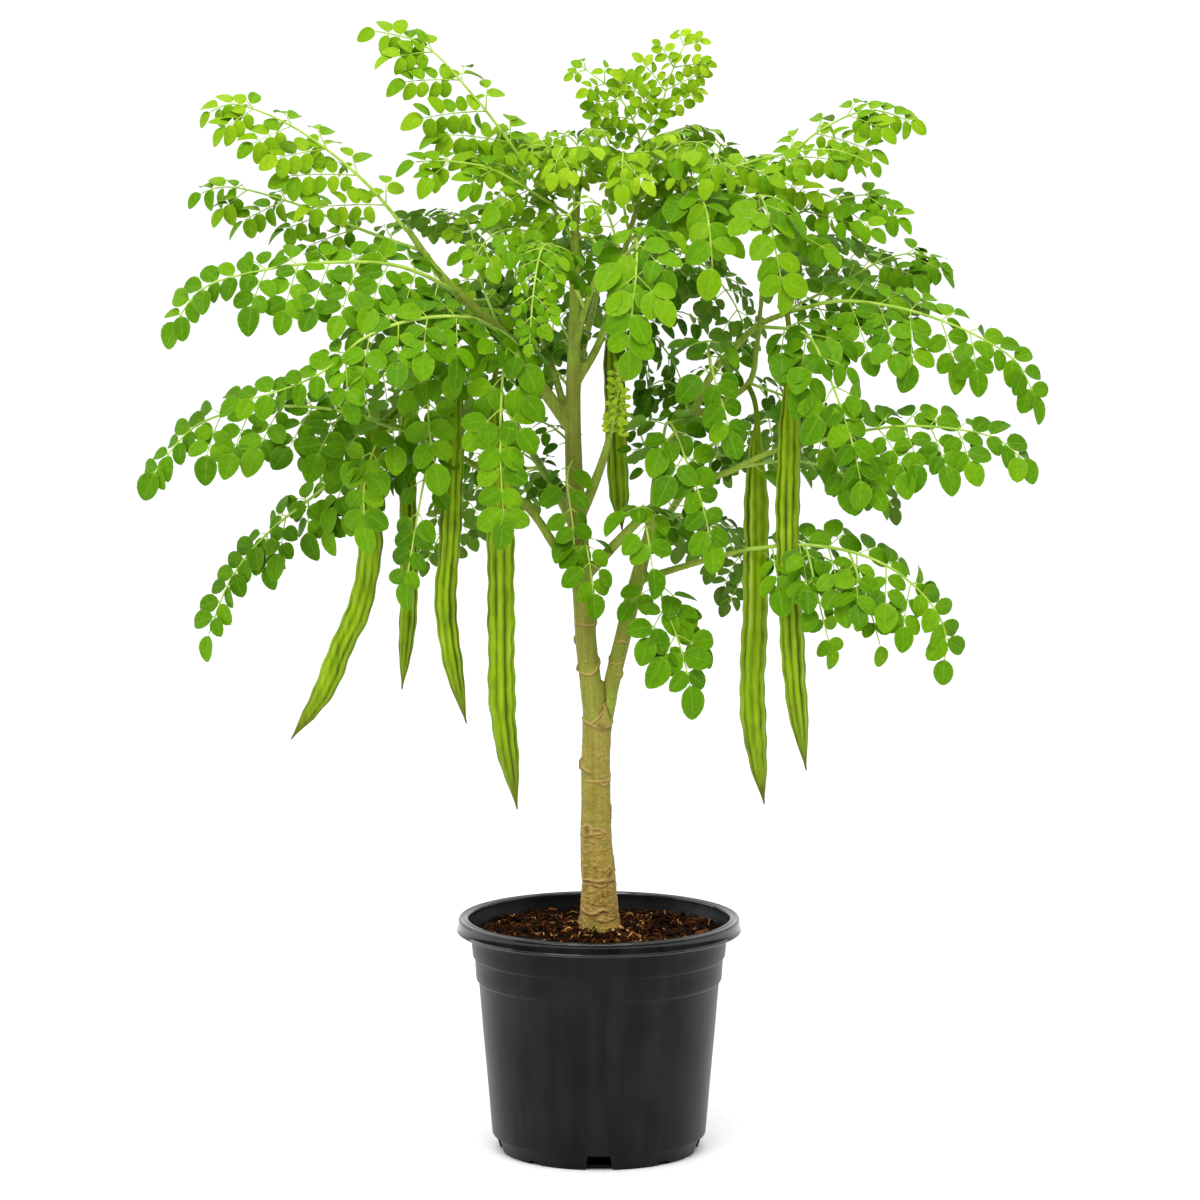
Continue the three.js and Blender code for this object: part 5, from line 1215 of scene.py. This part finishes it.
# %% Routes of the fronds
FRONDS = {
    "left_1": ("upper", 66, 0.58, [
        (-24, 905, 5), (-62, 963, -10), (-91, 1007, -22), (-127, 1053, -30), (-177, 1103, -34),
        (-239, 1119, -30)]),
    "left_2": ("upper", 62, 0.58, [
        (-192, 916, -40), (-232, 963, -50), (-291, 1011, -60), (-335, 1034, -62), (-369, 1043, -62),
        (-403, 1027, -60)]),
    "left_3": ("upper", 56, 0.5, [
        (-176, 896, -39), (-212, 908, -24), (-260, 926, 4), (-312, 946, 20), (-377, 960, 30),
        (-412, 947, 32)]),
    "left_4": ("arching", 80, 0.34, [
        (-139, 852, -34), (-175, 872, -70), (-211, 883, -92), (-281, 884, -105), (-335, 877, -106),
        (-398, 857, -100), (-434, 805, -95)]),
    "left_5": ("arching", 78, 0.34, [
        (-93, 810, -25), (-129, 829, -92), (-182, 828, -126), (-232, 811, -140), (-278, 774, -145),
        (-330, 753, -140), (-379, 742, -130)]),
    "left_6": ("arching", 78, 0.34, [
        (-198, 719, -10), (-255, 735, -18), (-306, 741, -24), (-362, 736, -25), (-406, 719, -25),
        (-457, 657, -20)]),
    "left_7": ("arching", 72, 0.34, [
        (-150, 698, -15), (-201, 694, 24), (-253, 673, 44), (-293, 645, 56), (-335, 610, 60),
        (-368, 568, 60), (-398, 491, 60)]),
    "left_8": ("upper", 54, 0.5, [
        (-24, 928, 5), (-62, 952, -34), (-108, 978, -58), (-150, 986, -70), (-200, 984, -76)]),
    "right_1": ("upper", 70, 0.56, [
        (28, 905, 14), (70, 935, 12), (114, 963, 4), (175, 980, -10), (223, 1018, -15), (273, 1037, -15),
        (326, 1019, -10)]),
    "right_2": ("upper", 44, 0.5, [
        (40, 948, 9), (110, 972, -34), (180, 992, -56), (236, 997, -66), (284, 978, -70)]),
    "right_3": ("upper", 62, 0.44, [
        (166, 912, -2), (196, 932, -24), (240, 948, -38), (277, 952, -42), (299, 940, -42)]),
    "right_4": ("upper", 58, 0.38, [
        (178, 831, -26), (214, 850, 6), (246, 866, 22), (288, 889, 32), (320, 893, 37), (355, 877, 40)]),
    "right_5": ("arching", 80, 0.36, [
        (190, 835, -28), (238, 846, -42), (296, 840, -52), (344, 826, -58), (382, 809, -60),
        (418, 784, -62), (443, 732, -62)]),
    "right_6": ("arching", 82, 0.34, [
        (205, 702, -46), (252, 714, -62), (307, 721, -76), (370, 716, -86), (402, 706, -88),
        (439, 671, -90)]),
    "right_7": ("arching", 82, 0.34, [
        (148, 598, -30), (208, 602, -62), (266, 591, -82), (310, 566, -94), (345, 520, -100),
        (343, 465, -100)]),
    "right_8": ("arching", 40, 0.3, [
        (140, 680, -45), (200, 686, 20), (246, 672, 50), (271, 652, 60), (292, 636, 64)]),
    "top_1": ("young", 66, 0.66, [(55, 1006, 4), (62, 1035, 2), (70, 1068, 0), (90, 1112, -2)]),
    "top_2": ("young", 54, 0.58, [(48, 976, 7), (37, 1020, -6), (20, 1050, -12), (-24, 1086, -14)]),
    "top_3": ("upper", 54, 0.62, [(-21, 950, 6), (-26, 992, -40), (-38, 998, -84), (-48, 962, -112)]),
    "top_4": ("upper", 56, 0.64, [(36, 935, 11), (26, 986, -50), (24, 992, -100), (22, 950, -136)]),
    "top_5": ("upper", 50, 0.56, [(50, 985, 6), (84, 1004, -40), (112, 998, -84), (134, 962, -110)]),
    "top_6": ("upper", 60, 0.6, [(-20, 960, 6), (-52, 1000, 62), (-92, 1012, 112), (-136, 980, 156)]),
    "top_7": ("upper", 60, 0.6, [(52, 992, 5), (76, 1016, 60), (108, 1014, 116), (146, 976, 166)]),
    "front_1": ("hanging", 48, 0.38, [
        (-140, 808, -18), (-146, 818, -62), (-150, 796, -98), (-146, 748, -106)]),
    "front_2": ("hanging", 56, 0.36, [
        (-76, 787, -18), (-92, 800, -90), (-98, 740, -124), (-98, 676, -132), (-93, 602, -132)]),
    "front_3": ("hanging", 50, 0.36, [
        (-150, 797, -15), (-168, 776, -64), (-170, 722, -86), (-160, 660, -92)]),
    "front_4": ("hanging", 52, 0.36, [
        (-160, 702, -14), (-212, 716, -66), (-233, 672, -84), (-234, 599, -88)]),
    "front_5": ("hanging", 40, 0.28, [
        (-172, 707, -13), (-171, 690, -50), (-180, 640, -66), (-196, 545, -70)]),
    "front_6": ("hanging", 60, 0.4, [
        (21, 907, -103), (36, 915, -150), (37, 872, -190), (32, 826, -204), (28, 770, -206)]),
    "front_7": ("hanging", 34, 0.36, [(-25, 690, 0), (-32, 670, -34), (-26, 620, -40), (-24, 574, -36)]),
    "front_8": ("hanging", 42, 0.34, [(-20, 612, 0), (-14, 606, -30), (-8, 574, -50), (-4, 532, -56)]),
    "front_9": ("hanging", 56, 0.3, [
        (66, 575, -8), (62, 552, -44), (78, 510, -62), (88, 475, -66), (94, 436, -66)]),
    "front_10": ("hanging", 50, 0.32, [
        (113, 773, -18), (108, 806, -70), (116, 766, -98), (126, 735, -104), (134, 692, -104)]),
    "front_11": ("hanging", 54, 0.32, [
        (60, 677, -6), (70, 726, -60), (86, 690, -88), (104, 640, -96), (116, 580, -98)]),
    "front_12": ("hanging", 44, 0.36, [(47, 634, -32), (44, 640, -78), (50, 604, -96), (56, 556, -100)]),
    "front_13": ("hanging", 58, 0.34, [
        (158, 821, -24), (208, 812, -78), (226, 780, -98), (243, 736, -108), (256, 694, -112),
        (266, 640, -112)]),
    "front_14": ("hanging", 60, 0.4, [
        (166, 905, -1), (160, 952, -70), (170, 930, -118), (178, 890, -132), (188, 836, -134)]),
    "front_15": ("hanging", 56, 0.4, [
        (24, 888, 15), (80, 952, -64), (104, 946, -112), (112, 902, -136), (114, 852, -140)]),
    "front_16": ("crowded", 56, 0.42, [
        (-14, 838, -34), (-44, 900, -110), (-58, 896, -160), (-66, 850, -192), (-70, 792, -200)]),
    "inner_1": ("inner", 44, 0.55, [(-100, 820, -24), (-118, 866, 20), (-126, 908, 44), (-136, 940, 62)]),
    "inner_2": ("inner", 54, 0.22, [(-70, 846, 45), (-96, 900, 84), (-142, 932, 128), (-204, 926, 176)]),
    "inner_3": ("inner", 54, 0.46, [(-25, 872, 3), (-62, 912, -44), (-104, 914, -84), (-136, 872, -102)]),
    "back_1": ("inner", 70, 0.14, [
        (-62, 822, 36), (-98, 846, 112), (-150, 858, 190), (-204, 838, 244), (-240, 780, 270)]),
    "back_2": ("inner", 76, 0.14, [
        (-94, 744, 184), (-136, 776, 236), (-196, 778, 276), (-256, 746, 300), (-300, 680, 306)]),
    "back_3": ("inner", 70, 0.1, [(-58, 680, 100), (-100, 672, 176), (-142, 640, 224), (-178, 574, 250)]),
    "back_4": ("inner", 74, 0.14, [
        (6, 888, 164), (-12, 912, 214), (-30, 890, 262), (-44, 836, 296), (-50, 770, 306)]),
    "back_5": ("inner", 70, 0.14, [
        (2, 870, 148), (52, 900, 200), (96, 888, 252), (134, 846, 286), (156, 786, 296)]),
    "back_6": ("inner", 74, 0.18, [
        (164, 880, 2), (206, 904, 70), (250, 898, 132), (292, 866, 182), (322, 810, 206)]),
    "back_7": ("inner", 78, 0.14, [
        (108, 698, 178), (148, 726, 226), (206, 726, 266), (262, 692, 292), (300, 628, 300)]),
    "back_8": ("inner", 66, 0.1, [(70, 634, 88), (104, 626, 160), (138, 594, 212), (162, 534, 236)]),
}
print("fronds:", len(FRONDS))

# %% [markdown]
# A frond is a flat thing that leans outward and rolls toward the light, which comes from the side that
# nothing shades. For most fronds that is the front, and for those that reach far back it is the back.
# Stalk and sprays need a frame at each place: where it is, where it runs, which side is up and which is
# left. It is taken from the line itself, so that a frond follows its route whatever its shape.

# %% The way a frond faces
OUTWARD_LEAN, ROLL = 0.4, 1.2
BACK_FROM = 150  # mm behind the trunk, where a frond's tip counts as reaching back


def frond_face(base, tip, toward):
    """The direction that a frond's upper side looks. toward is 1 for the back and -1 for the front."""
    outward = unit(np.array([tip[0] - base[0], tip[1] - base[1], 0.0]))
    face = UP + OUTWARD_LEAN * outward
    face[1] += toward * ROLL * abs(outward[0])
    return face


def frame_on(line, face, share):
    """Place, heading, face and left-hand side of a stalk at a share of its length."""
    step = 0.004
    here, before, after = place_on(line, [share, max(share - step, 0), min(share + step, 1)])
    heading = unit(after - before)
    up = unit(face - heading * face.dot(heading))
    return here, heading, up, np.cross(up, heading)


def square_to(face, headings):
    """The face direction made square to each heading."""
    return unit(face - headings * (face * headings).sum(-1, keepdims=True))


to_left = frond_face(np.zeros(3), np.array([-300.0, 0, 0]), -1)
print("a frond that reaches left faces", unit(to_left).round(2))

# %% [markdown]
# Fronds differ in habit. Those of the upper crown carry a few long, level sprays of small leaflets that
# droop on the open side. Arching ones let long sprays hang like ladders. Hanging ones, in front, end in
# a ladder of large leaflets. Young ones are small and narrow toward the tip, and a bud has barely opened.
# The inner ones are dense and shaded, and short crowded shoots fill the crown. Each could have a function
# of its own. One table gives each habit its sizes in mm and its shares of the stalk instead, so that a
# habit can be tuned without touching the code.

# %% Habits
# sprays: where the first and last stand; step: distance between them; angle: to the stalk, in radians
# sag: of a spray on the open and on the far side; stretch: its length as a share of the frond's reach
# far, tuck: how long the far ones are beside the open ones, and how far they turn away
# taper: how much shorter sprays get toward the tip
# pair, single: distance between leaflet pairs on a spray and at the frond's tip
# leaflet, end: lengths; shrink: how much smaller they are at the tip
# level: how level leaflets lie; droop: of a leaflet on the open and on the far side; curl: of its tip
HABITS = {
    "upper": {"sprays": (0.13, 0.76), "step": 38, "angle": 0.8, "sag": (0.1, 0.08), "stretch": 1.6,
              "far": 0.58, "tuck": 0.4, "taper": 0.55, "pair": 13, "single": 12, "leaflet": 24, "end": 26,
              "shrink": 0.2, "level": 0.5, "droop": (0.8, 0.0), "curl": 0.28},
    "arching": {"sprays": (0.1, 0.62), "step": 29, "angle": 1.05, "sag": (0.5, 0.16), "stretch": 1.02,
                "far": 0.7, "tuck": 0.15, "taper": 0.4, "pair": 17, "single": 17, "leaflet": 26, "end": 32,
                "shrink": 0.06, "level": 0.0, "droop": (0.25, 0.0), "curl": 0.06},
    "hanging": {"sprays": (0.16, 0.52), "step": 30, "angle": 0.95, "sag": (0.4, 0.4), "stretch": 1.16,
                "far": 1.0, "tuck": 0.1, "taper": 0.4, "pair": 18, "single": 20, "leaflet": 28, "end": 35,
                "shrink": 0.0, "level": 0.0, "droop": (0.1, 0.1), "curl": 0.1},
    "young": {"sprays": (0.24, 0.9), "step": 25, "angle": 0.9, "sag": (0.1, 0.1), "stretch": 1.3,
              "far": 0.9, "tuck": 0.1, "taper": 0.75, "pair": 10, "single": 8, "leaflet": 17, "end": 18,
              "shrink": 0.3, "level": 0.35, "droop": (0.5, 0.1), "curl": 0.2},
    "bud": {"sprays": (0.1, 0.84), "step": 9, "angle": 0.5, "sag": (0.8, 0.8), "stretch": 0.9,
            "far": 1.0, "tuck": 0.1, "taper": 0.4, "pair": 5.5, "single": 5, "leaflet": 11, "end": 13,
            "shrink": 0.2, "level": 0.0, "droop": (0.7, 0.7), "curl": 0.1},
    "inner": {"sprays": (0.08, 0.8), "step": 25, "angle": 1.05, "sag": (0.42, 0.3), "stretch": 1.1,
              "far": 0.9, "tuck": 0.2, "taper": 0.45, "pair": 14, "single": 13, "leaflet": 21, "end": 25,
              "shrink": 0.2, "level": 0.2, "droop": (0.4, 0.1), "curl": 0.1},
    "crowded": {"sprays": (0.2, 0.86), "step": 19, "angle": 1.0, "sag": (0.3, 0.2), "stretch": 1.0,
                "far": 0.9, "tuck": 0.2, "taper": 0.5, "pair": 11, "single": 10, "leaflet": 17, "end": 21,
                "shrink": 0.3, "level": 0.3, "droop": (0.6, 0.1), "curl": 0.2},
}
print("habits:", ", ".join(HABITS))

# %% [markdown]
# No two leaflets on a plant line up, so each one strays a little from where a ruler would set it. The
# draws come from a generator seeded with the frond's own number, which keeps a frond as it is when
# another one changes. Leaflets stand in pairs, and the one on the open side droops more.

# %% A leaflet and a pair
HEADING_STRAY, FACE_STRAY, FOOT_STRAY = 0.12, 0.22, 0.8  # the last in mm
LEAST, MOST = 0.84, 1.1  # a leaflet's length beside the usual one


def stray_leaflet(rng, root, heading, up, length):
    """Root, heading, upper side and length of one leaflet, each a little off."""
    heading = unit(heading + rng.normal(0, HEADING_STRAY, 3))
    up = square_to(unit(up + rng.normal(0, FACE_STRAY, 3)), heading)
    return root, heading, up, length * rng.uniform(LEAST, MOST)


def leaflet_pair(rng, habit, toward, root, heading, up, length, angle):
    """Two leaflets that leave a stalk or a rib at one angle, one to either side."""
    left, pair = np.cross(up, heading), []
    facing = up * (1 - habit["level"]) + UP * habit["level"]
    for out in (left, -left):
        droop = habit["droop"][0 if out[1] * toward > 0 else 1]
        pointing = heading * math.cos(angle) + out * math.sin(angle) - UP * droop
        foot = root + heading * rng.uniform(-FOOT_STRAY, FOOT_STRAY)
        pair.append(stray_leaflet(rng, foot, pointing, facing, length))
    return pair


print("leaflet habits:", {name: habit["leaflet"] for name, habit in HABITS.items()})

# %% [markdown]
# A side spray starts at an angle to the stalk and sags under its own weight, more toward its tip, so its
# rib is a parabola. On the open side it hangs free. On the far side it is tucked away behind the stalk.
# Its foot is bare, because leaflets there would lie on the stalk.

# %% A side spray
BARE_FOOT = 7  # mm of a rib without leaflets
LEAFLET_ANGLE = 0.95  # radians that a leaflet stands off its rib or stalk
RIB_POINTS, RIB_ROOT, RIB_TIP = 6, 0.8, 0.45  # the last two are radii in mm
END_OVERLAP = 0.85  # how much of the end leaflet's length counts to the spray
# How far a spray strays in place, angle and tilt, and between which shares in length and sag.
PLACE_STRAY, ANGLE_STRAY, TILT_STRAY = 0.004, 0.09, 0.1
LENGTH_SHARES, SAG_SHARES = (0.88, 1.08), (0.85, 1.15)
FAR_END = 0.8  # size of the end leaflet on the far side beside one on the open side
OPEN_NOD, FAR_NOD = 0.15, 0.5  # how far either of them nods


def side_spray(rng, habit, stalk, share, side):
    """Rib, pairs of leaflets and end leaflet of one spray at a share of a frond's stalk."""
    line, face, toward, reach, size = stalk
    here, heading, up, left = frame_on(line, face, share + rng.uniform(-PLACE_STRAY, PLACE_STRAY))
    is_open = side * left[1] * toward > 0
    tuck, far = (0.0, 1.0) if is_open else (habit["tuck"], habit["far"])
    length = reach * habit["stretch"] * (1 - habit["taper"] * share) * rng.uniform(*LENGTH_SHARES)
    length *= min(1.0, 0.7 + 2 * share) * far
    angle = habit["angle"] + rng.normal(0, ANGLE_STRAY)
    away = np.array([0.0, -toward, 0.0])
    out = unit(left * side * (1 - tuck) + away * tuck + up * rng.normal(0, TILT_STRAY))
    start = heading * math.cos(angle) + out * math.sin(angle)
    sag = habit["sag"][0 if is_open else 1] * rng.uniform(*SAG_SHARES)
    grown = 1 - habit["shrink"] * share
    rib_length = max(length - habit["end"] * grown * END_OVERLAP, BARE_FOOT)
    t = np.linspace(0, 1, RIB_POINTS)[:, None] * rib_length / max(length, rib_length)
    rib = here + start * max(length, rib_length) * t - UP * sag * length * t**2
    steps = np.linalg.norm(np.diff(rib, axis=0), axis=1)
    rib_line = (rib, np.concatenate([[0], np.cumsum(steps)]))
    total = rib_line[1][-1]
    pairs = []
    spots = np.arange(total - 0.6 * habit["pair"] * grown, BARE_FOOT - 3, -habit["pair"] * grown)
    for index, spot in enumerate(spots):
        root, along, rib_up, _ = frame_on(rib_line, up, spot / total)
        leaflet_length = habit["leaflet"] * grown * (1 - 0.05 * index)
        pairs += leaflet_pair(rng, habit, toward, root, along, rib_up, size * leaflet_length,
                              LEAFLET_ANGLE + 0.08 * index)
    root, along, rib_up, _ = frame_on(rib_line, up, 1.0)
    facing = rib_up * (1 - habit["level"]) + UP * habit["level"]
    end_length = habit["end"] * grown * (1.0 if is_open else FAR_END)
    pointing = along - UP * (OPEN_NOD if is_open else FAR_NOD)
    end = stray_leaflet(rng, root, pointing, facing, size * end_length)
    return (rib, np.linspace(RIB_ROOT, RIB_TIP, RIB_POINTS), 4), pairs, end


print("bare foot of a rib in mm:", BARE_FOOT)

# %% [markdown]
# A frond's stalk tapers from its root to a thread. Pairs of sprays stand on its lower part and single
# pairs of leaflets on the rest, and one more leaflet ends it. That leaflet's own length is taken off the
# stalk first, so that the frond ends where its route does. Everything is laid out before anything is
# built, because one array can then hold all leaflets of a kind.

# %% Lay out a frond
STALK_SIDES, STALK_RING = 7, 12  # faces round a stalk, and mm between its rings
THREAD = 0.55  # radius in mm at a stalk's tip


def lay_out_frond(habit, reach, route, rng):
    """Stalks, side leaflets and end leaflets of a frond, before they are built."""
    line = smooth_line([read_place(*point) for point in route])
    base, end, total = line[0][0], line[0][-1], line[1][-1]
    toward = 1 if end[1] > BACK_FROM else -1
    face = frond_face(base, end, toward)
    size = min(1.0, 0.4 + reach / 95)  # short fronds have smaller leaflets
    small = 1 - habit["shrink"]
    tip = 1 - 0.8 * size * habit["end"] * small / total
    base_radius = 1.0 + total * 0.004
    shares = np.linspace(0, tip, max(10, int(total / STALK_RING)))
    radii = np.interp(shares, [0, 0.5, 1], [base_radius, base_radius * 0.62, THREAD])
    stalks, side_leaflets, end_leaflets = [(place_on(line, shares), radii, STALK_SIDES)], [], []
    first, last = habit["sprays"]
    for share in np.linspace(first, last, max(3, round((last - first) * total / habit["step"]) + 1)):
        for side in (1, -1):
            rib, pairs, end_leaflet = side_spray(rng, habit, (line, face, toward, reach, size), share, side)
            stalks.append(rib)
            side_leaflets += pairs
            end_leaflets.append(end_leaflet)
    singles = np.arange(last + 0.9 * habit["single"] / total, tip - 4 / total, habit["single"] / total)
    for share in singles:
        here, heading, up, _ = frame_on(line, face, share)
        length = size * (habit["leaflet"] * small * 1.08)
        side_leaflets += leaflet_pair(rng, habit, toward, here, heading, up, length, LEAFLET_ANGLE)
    here, heading, up, _ = frame_on(line, face, tip)
    length = size * (habit["end"] * small * 1.05)
    end_leaflets.append(stray_leaflet(rng, here, heading - UP * 0.35, up, length))
    return stalks, side_leaflets, end_leaflets


habit, reach, _, route = FRONDS["left_4"]
counts = [len(kind) for kind in lay_out_frond(HABITS[habit], reach, route, np.random.default_rng(0))]
print("left_4 has stalk and ribs, side leaflets, end leaflets:", counts)

# %% [markdown]
# Building a frond turns that list into one mesh. Stalks become tubes and take the stalk's finish, and
# leaflets take the leaf's. Each leaflet gets its own fold, droop and tone, and its points keep how far
# along and across it they lie, which is where the finish draws its veins. The margins are marked sharp,
# as smooth shading would roll the light round so thin an edge.

# %% Build a frond
# Between which values a leaflet is folded, curls more than its habit and strays in tone.
FOLDS, CURL_STRAY, TONE_STRAY = (0.08, 0.45), (0.0, 0.2), (-0.16, 0.1)


def grow_frond(name, frond, seed, replaced=()):
    """Builds one frond as a piece of its own and returns its number of leaflets."""
    habit, reach, tone, route = frond
    rng = np.random.default_rng(seed)
    stalks, side_leaflets, end_leaflets = lay_out_frond(HABITS[habit], reach, route, rng)
    points, faces, marks, under, finishes, margins, count = [], [], [], [], [], [], 0
    for stalk, radii, sides in stalks:
        tube_points, tube_faces = tube(stalk, radii, sides)
        points.append(tube_points)
        faces += shifted(tube_faces, count)
        marks.append(np.full((len(tube_points), 3), tone))
        under += [0.0] * len(tube_faces)
        finishes += [1] * len(tube_faces)
        margins.append(np.zeros(len(tube_points), bool))
        count += len(tube_points)
    for form, group in ((side_form, side_leaflets), (end_form, end_leaflets)):
        roots, headings, ups, lengths = (np.array(column) for column in zip(*group))
        folds = rng.uniform(*FOLDS, len(group))
        droops = HABITS[habit]["curl"] + rng.uniform(*CURL_STRAY, len(group))
        placed = set_leaflets(form, roots, headings, ups, lengths, folds, droops)
        tones = np.clip(tone + rng.uniform(*TONE_STRAY, len(group)), 0, 1)
        for leaflet, leaflet_tone in zip(placed, tones):
            faces += shifted(form["faces"], count)
            marks.append(np.column_stack([form["marks"], np.full(len(leaflet), leaflet_tone)]))
            count += len(leaflet)
        points.append(placed.reshape(-1, 3))
        under += form["under"] * len(group)
        finishes += [0] * (len(form["faces"]) * len(group))
        margins.append(np.tile(form["margin"], len(group)))
    add_piece(f"leaf_{name}", np.vstack(points), faces, [leaf, stalk_skin], "leaf", replaced,
              marks={"leaflet": np.vstack(marks)}, face_marks={"underside": under},
              face_materials=finishes, sharp=np.concatenate(margins))
    return len(side_leaflets) + len(end_leaflets)


print("habits in use:", sorted({frond[0] for frond in FRONDS.values()}))

# %% [markdown]
# All named fronds grow in one loop. Each stays a piece of its own and takes the place of its solid, so
# that one of them can be changed, hidden or measured without the rest.

# %% All fronds
leaflet_total = 0
for seed, (name, frond) in enumerate(FRONDS.items()):
    leaflet_total += grow_frond(name, frond, seed, replaced=[f"frond_{name}"])
print("leaflets:", leaflet_total)

# %% [markdown]
# Between the named fronds the crown is full of short shoots. They aren't parts of their own in the solid
# model, because they carry little of its outline, but without them the sky shows through. Those at the
# top are young and crowded, those inside are old and dark, two hang low on the right, and one has only
# just opened. They grow with the same functions.

# %% Short shoots inside the crown
SHOOTS = {
    "crown_1": ("crowded", 44, 0.66, [(-22, 935, 6), (-34, 978, -20), (-56, 1002, -44), (-80, 996, -66)]),
    "crown_2": ("crowded", 42, 0.6, [(-20, 960, 6), (-16, 990, 10), (-32, 1012, 24), (-56, 1014, 44)]),
    "crown_3": ("crowded", 40, 0.68, [(-20, 955, 6), (-4, 988, -24), (2, 1014, -40), (0, 1018, -66)]),
    "crown_4": ("crowded", 44, 0.66, [(30, 915, 14), (18, 970, 30), (4, 1012, 50), (-20, 1020, 74)]),
    "crown_5": ("crowded", 42, 0.6, [(48, 975, 6), (70, 998, 24), (92, 1004, 48), (118, 988, 70)]),
    "crown_6": ("crowded", 44, 0.6, [(36, 935, 12), (62, 962, -30), (78, 980, -70), (86, 962, -104)]),
    "crown_7": ("crowded", 46, 0.46, [(14, 850, 16), (-4, 900, 50), (-26, 930, 84), (-58, 930, 112)]),
    "crown_8": ("crowded", 46, 0.4, [(20, 880, 16), (48, 920, 56), (80, 936, 96), (112, 922, 128)]),
    "crown_9": ("crowded", 44, 0.5, [(-24, 880, 4), (-56, 908, 20), (-84, 944, 36), (-114, 956, 50)]),
    "crown_10": ("crowded", 36, 0.56, [(20, 900, -98), (4, 940, -126), (-18, 944, -150), (-40, 920, -166)]),
    "crown_11": ("crowded", 40, 0.7, [(44, 955, 9), (48, 992, -20), (60, 1012, -48), (76, 1012, -74)]),
    "crown_12": ("crowded", 46, 0.36, [(-2, 800, 8), (24, 846, -30), (48, 880, -58), (72, 878, -84)]),
    "inner_4": ("inner", 44, 0.16, [(-30, 760, 2), (-62, 800, 40), (-90, 830, 70), (-122, 820, 96)]),
    "inner_5": ("inner", 44, 0.14, [(-25, 800, 2), (-50, 840, 40), (-84, 868, 66), (-112, 852, 84)]),
    "inner_6": ("inner", 42, 0.12, [(-40, 650, 60), (-70, 690, 80), (-104, 700, 90), (-138, 676, 96)]),
    "inner_7": ("inner", 42, 0.14, [(0, 804, 10), (40, 826, 40), (78, 836, 64), (112, 820, 84)]),
    "inner_8": ("inner", 44, 0.18, [(8, 830, 12), (44, 862, 30), (86, 884, 44), (126, 876, 52)]),
    "inner_9": ("inner", 40, 0.14, [(56, 612, 60), (84, 660, 70), (112, 690, 70), (144, 690, 66)]),
    "inner_10": ("inner", 44, 0.2, [(92, 730, -14), (110, 770, 20), (128, 802, 44), (146, 806, 70)]),
    "inner_11": ("inner", 42, 0.18, [(-57, 760, -10), (-80, 774, 30), (-110, 778, 60), (-140, 756, 84)]),
    "inner_12": ("inner", 38, 0.2, [(-24, 700, 2), (-50, 722, 30), (-78, 728, 56), (-104, 708, 76)]),
    "inner_13": ("inner", 36, 0.2, [(58, 670, -5), (44, 706, 30), (34, 730, 56), (16, 736, 80)]),
    "inner_14": ("inner", 44, 0.2, [(8, 830, 12), (40, 822, 40), (70, 792, 60), (92, 742, 70)]),
    "inner_15": ("inner", 44, 0.16, [(14, 850, 16), (32, 832, 50), (46, 784, 70), (52, 722, 76)]),
    "inner_16": ("inner", 40, 0.14, [(91, 729, -14), (80, 758, 20), (60, 766, 50), (38, 748, 66)]),
    "inner_17": ("inner", 40, 0.16, [(-26, 800, 2), (-44, 806, 30), (-66, 790, 50), (-80, 750, 60)]),
    "inner_18": ("inner", 46, 0.24, [(-150, 698, -15), (-190, 690, 30), (-232, 660, 60), (-264, 618, 76)]),
    "inner_19": ("inner", 46, 0.24, [(148, 598, -30), (190, 600, 10), (236, 584, 40), (276, 548, 60)]),
    "inner_20": ("inner", 46, 0.2, [(150, 764, 8), (192, 748, 40), (236, 726, 60), (270, 690, 70)]),
    "low_1": ("hanging", 28, 0.4, [(206, 601, -62), (210, 590, -84), (220, 545, -92), (236, 482, -94)]),
    "low_2": ("hanging", 26, 0.4, [(250, 595, -76), (256, 580, -96), (272, 534, -100), (286, 484, -102)]),
    "young_shoot": ("bud", 30, 0.84, [(11, 706, -24), (16, 734, -31), (20, 764, -36), (17, 784, -38)]),
}
for seed, (name, shoot) in enumerate(SHOOTS.items(), start=100):
    leaflet_total += grow_frond(name, shoot, seed)
print("leaflets with the shoots:", leaflet_total)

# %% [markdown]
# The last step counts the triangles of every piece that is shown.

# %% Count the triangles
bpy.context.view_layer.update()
triangles = {}
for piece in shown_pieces():
    piece.data.calc_loop_triangles()
    triangles[piece.name] = len(piece.data.loop_triangles)
print("triangles:", sum(triangles.values()), "largest piece:", max(triangles.values()))
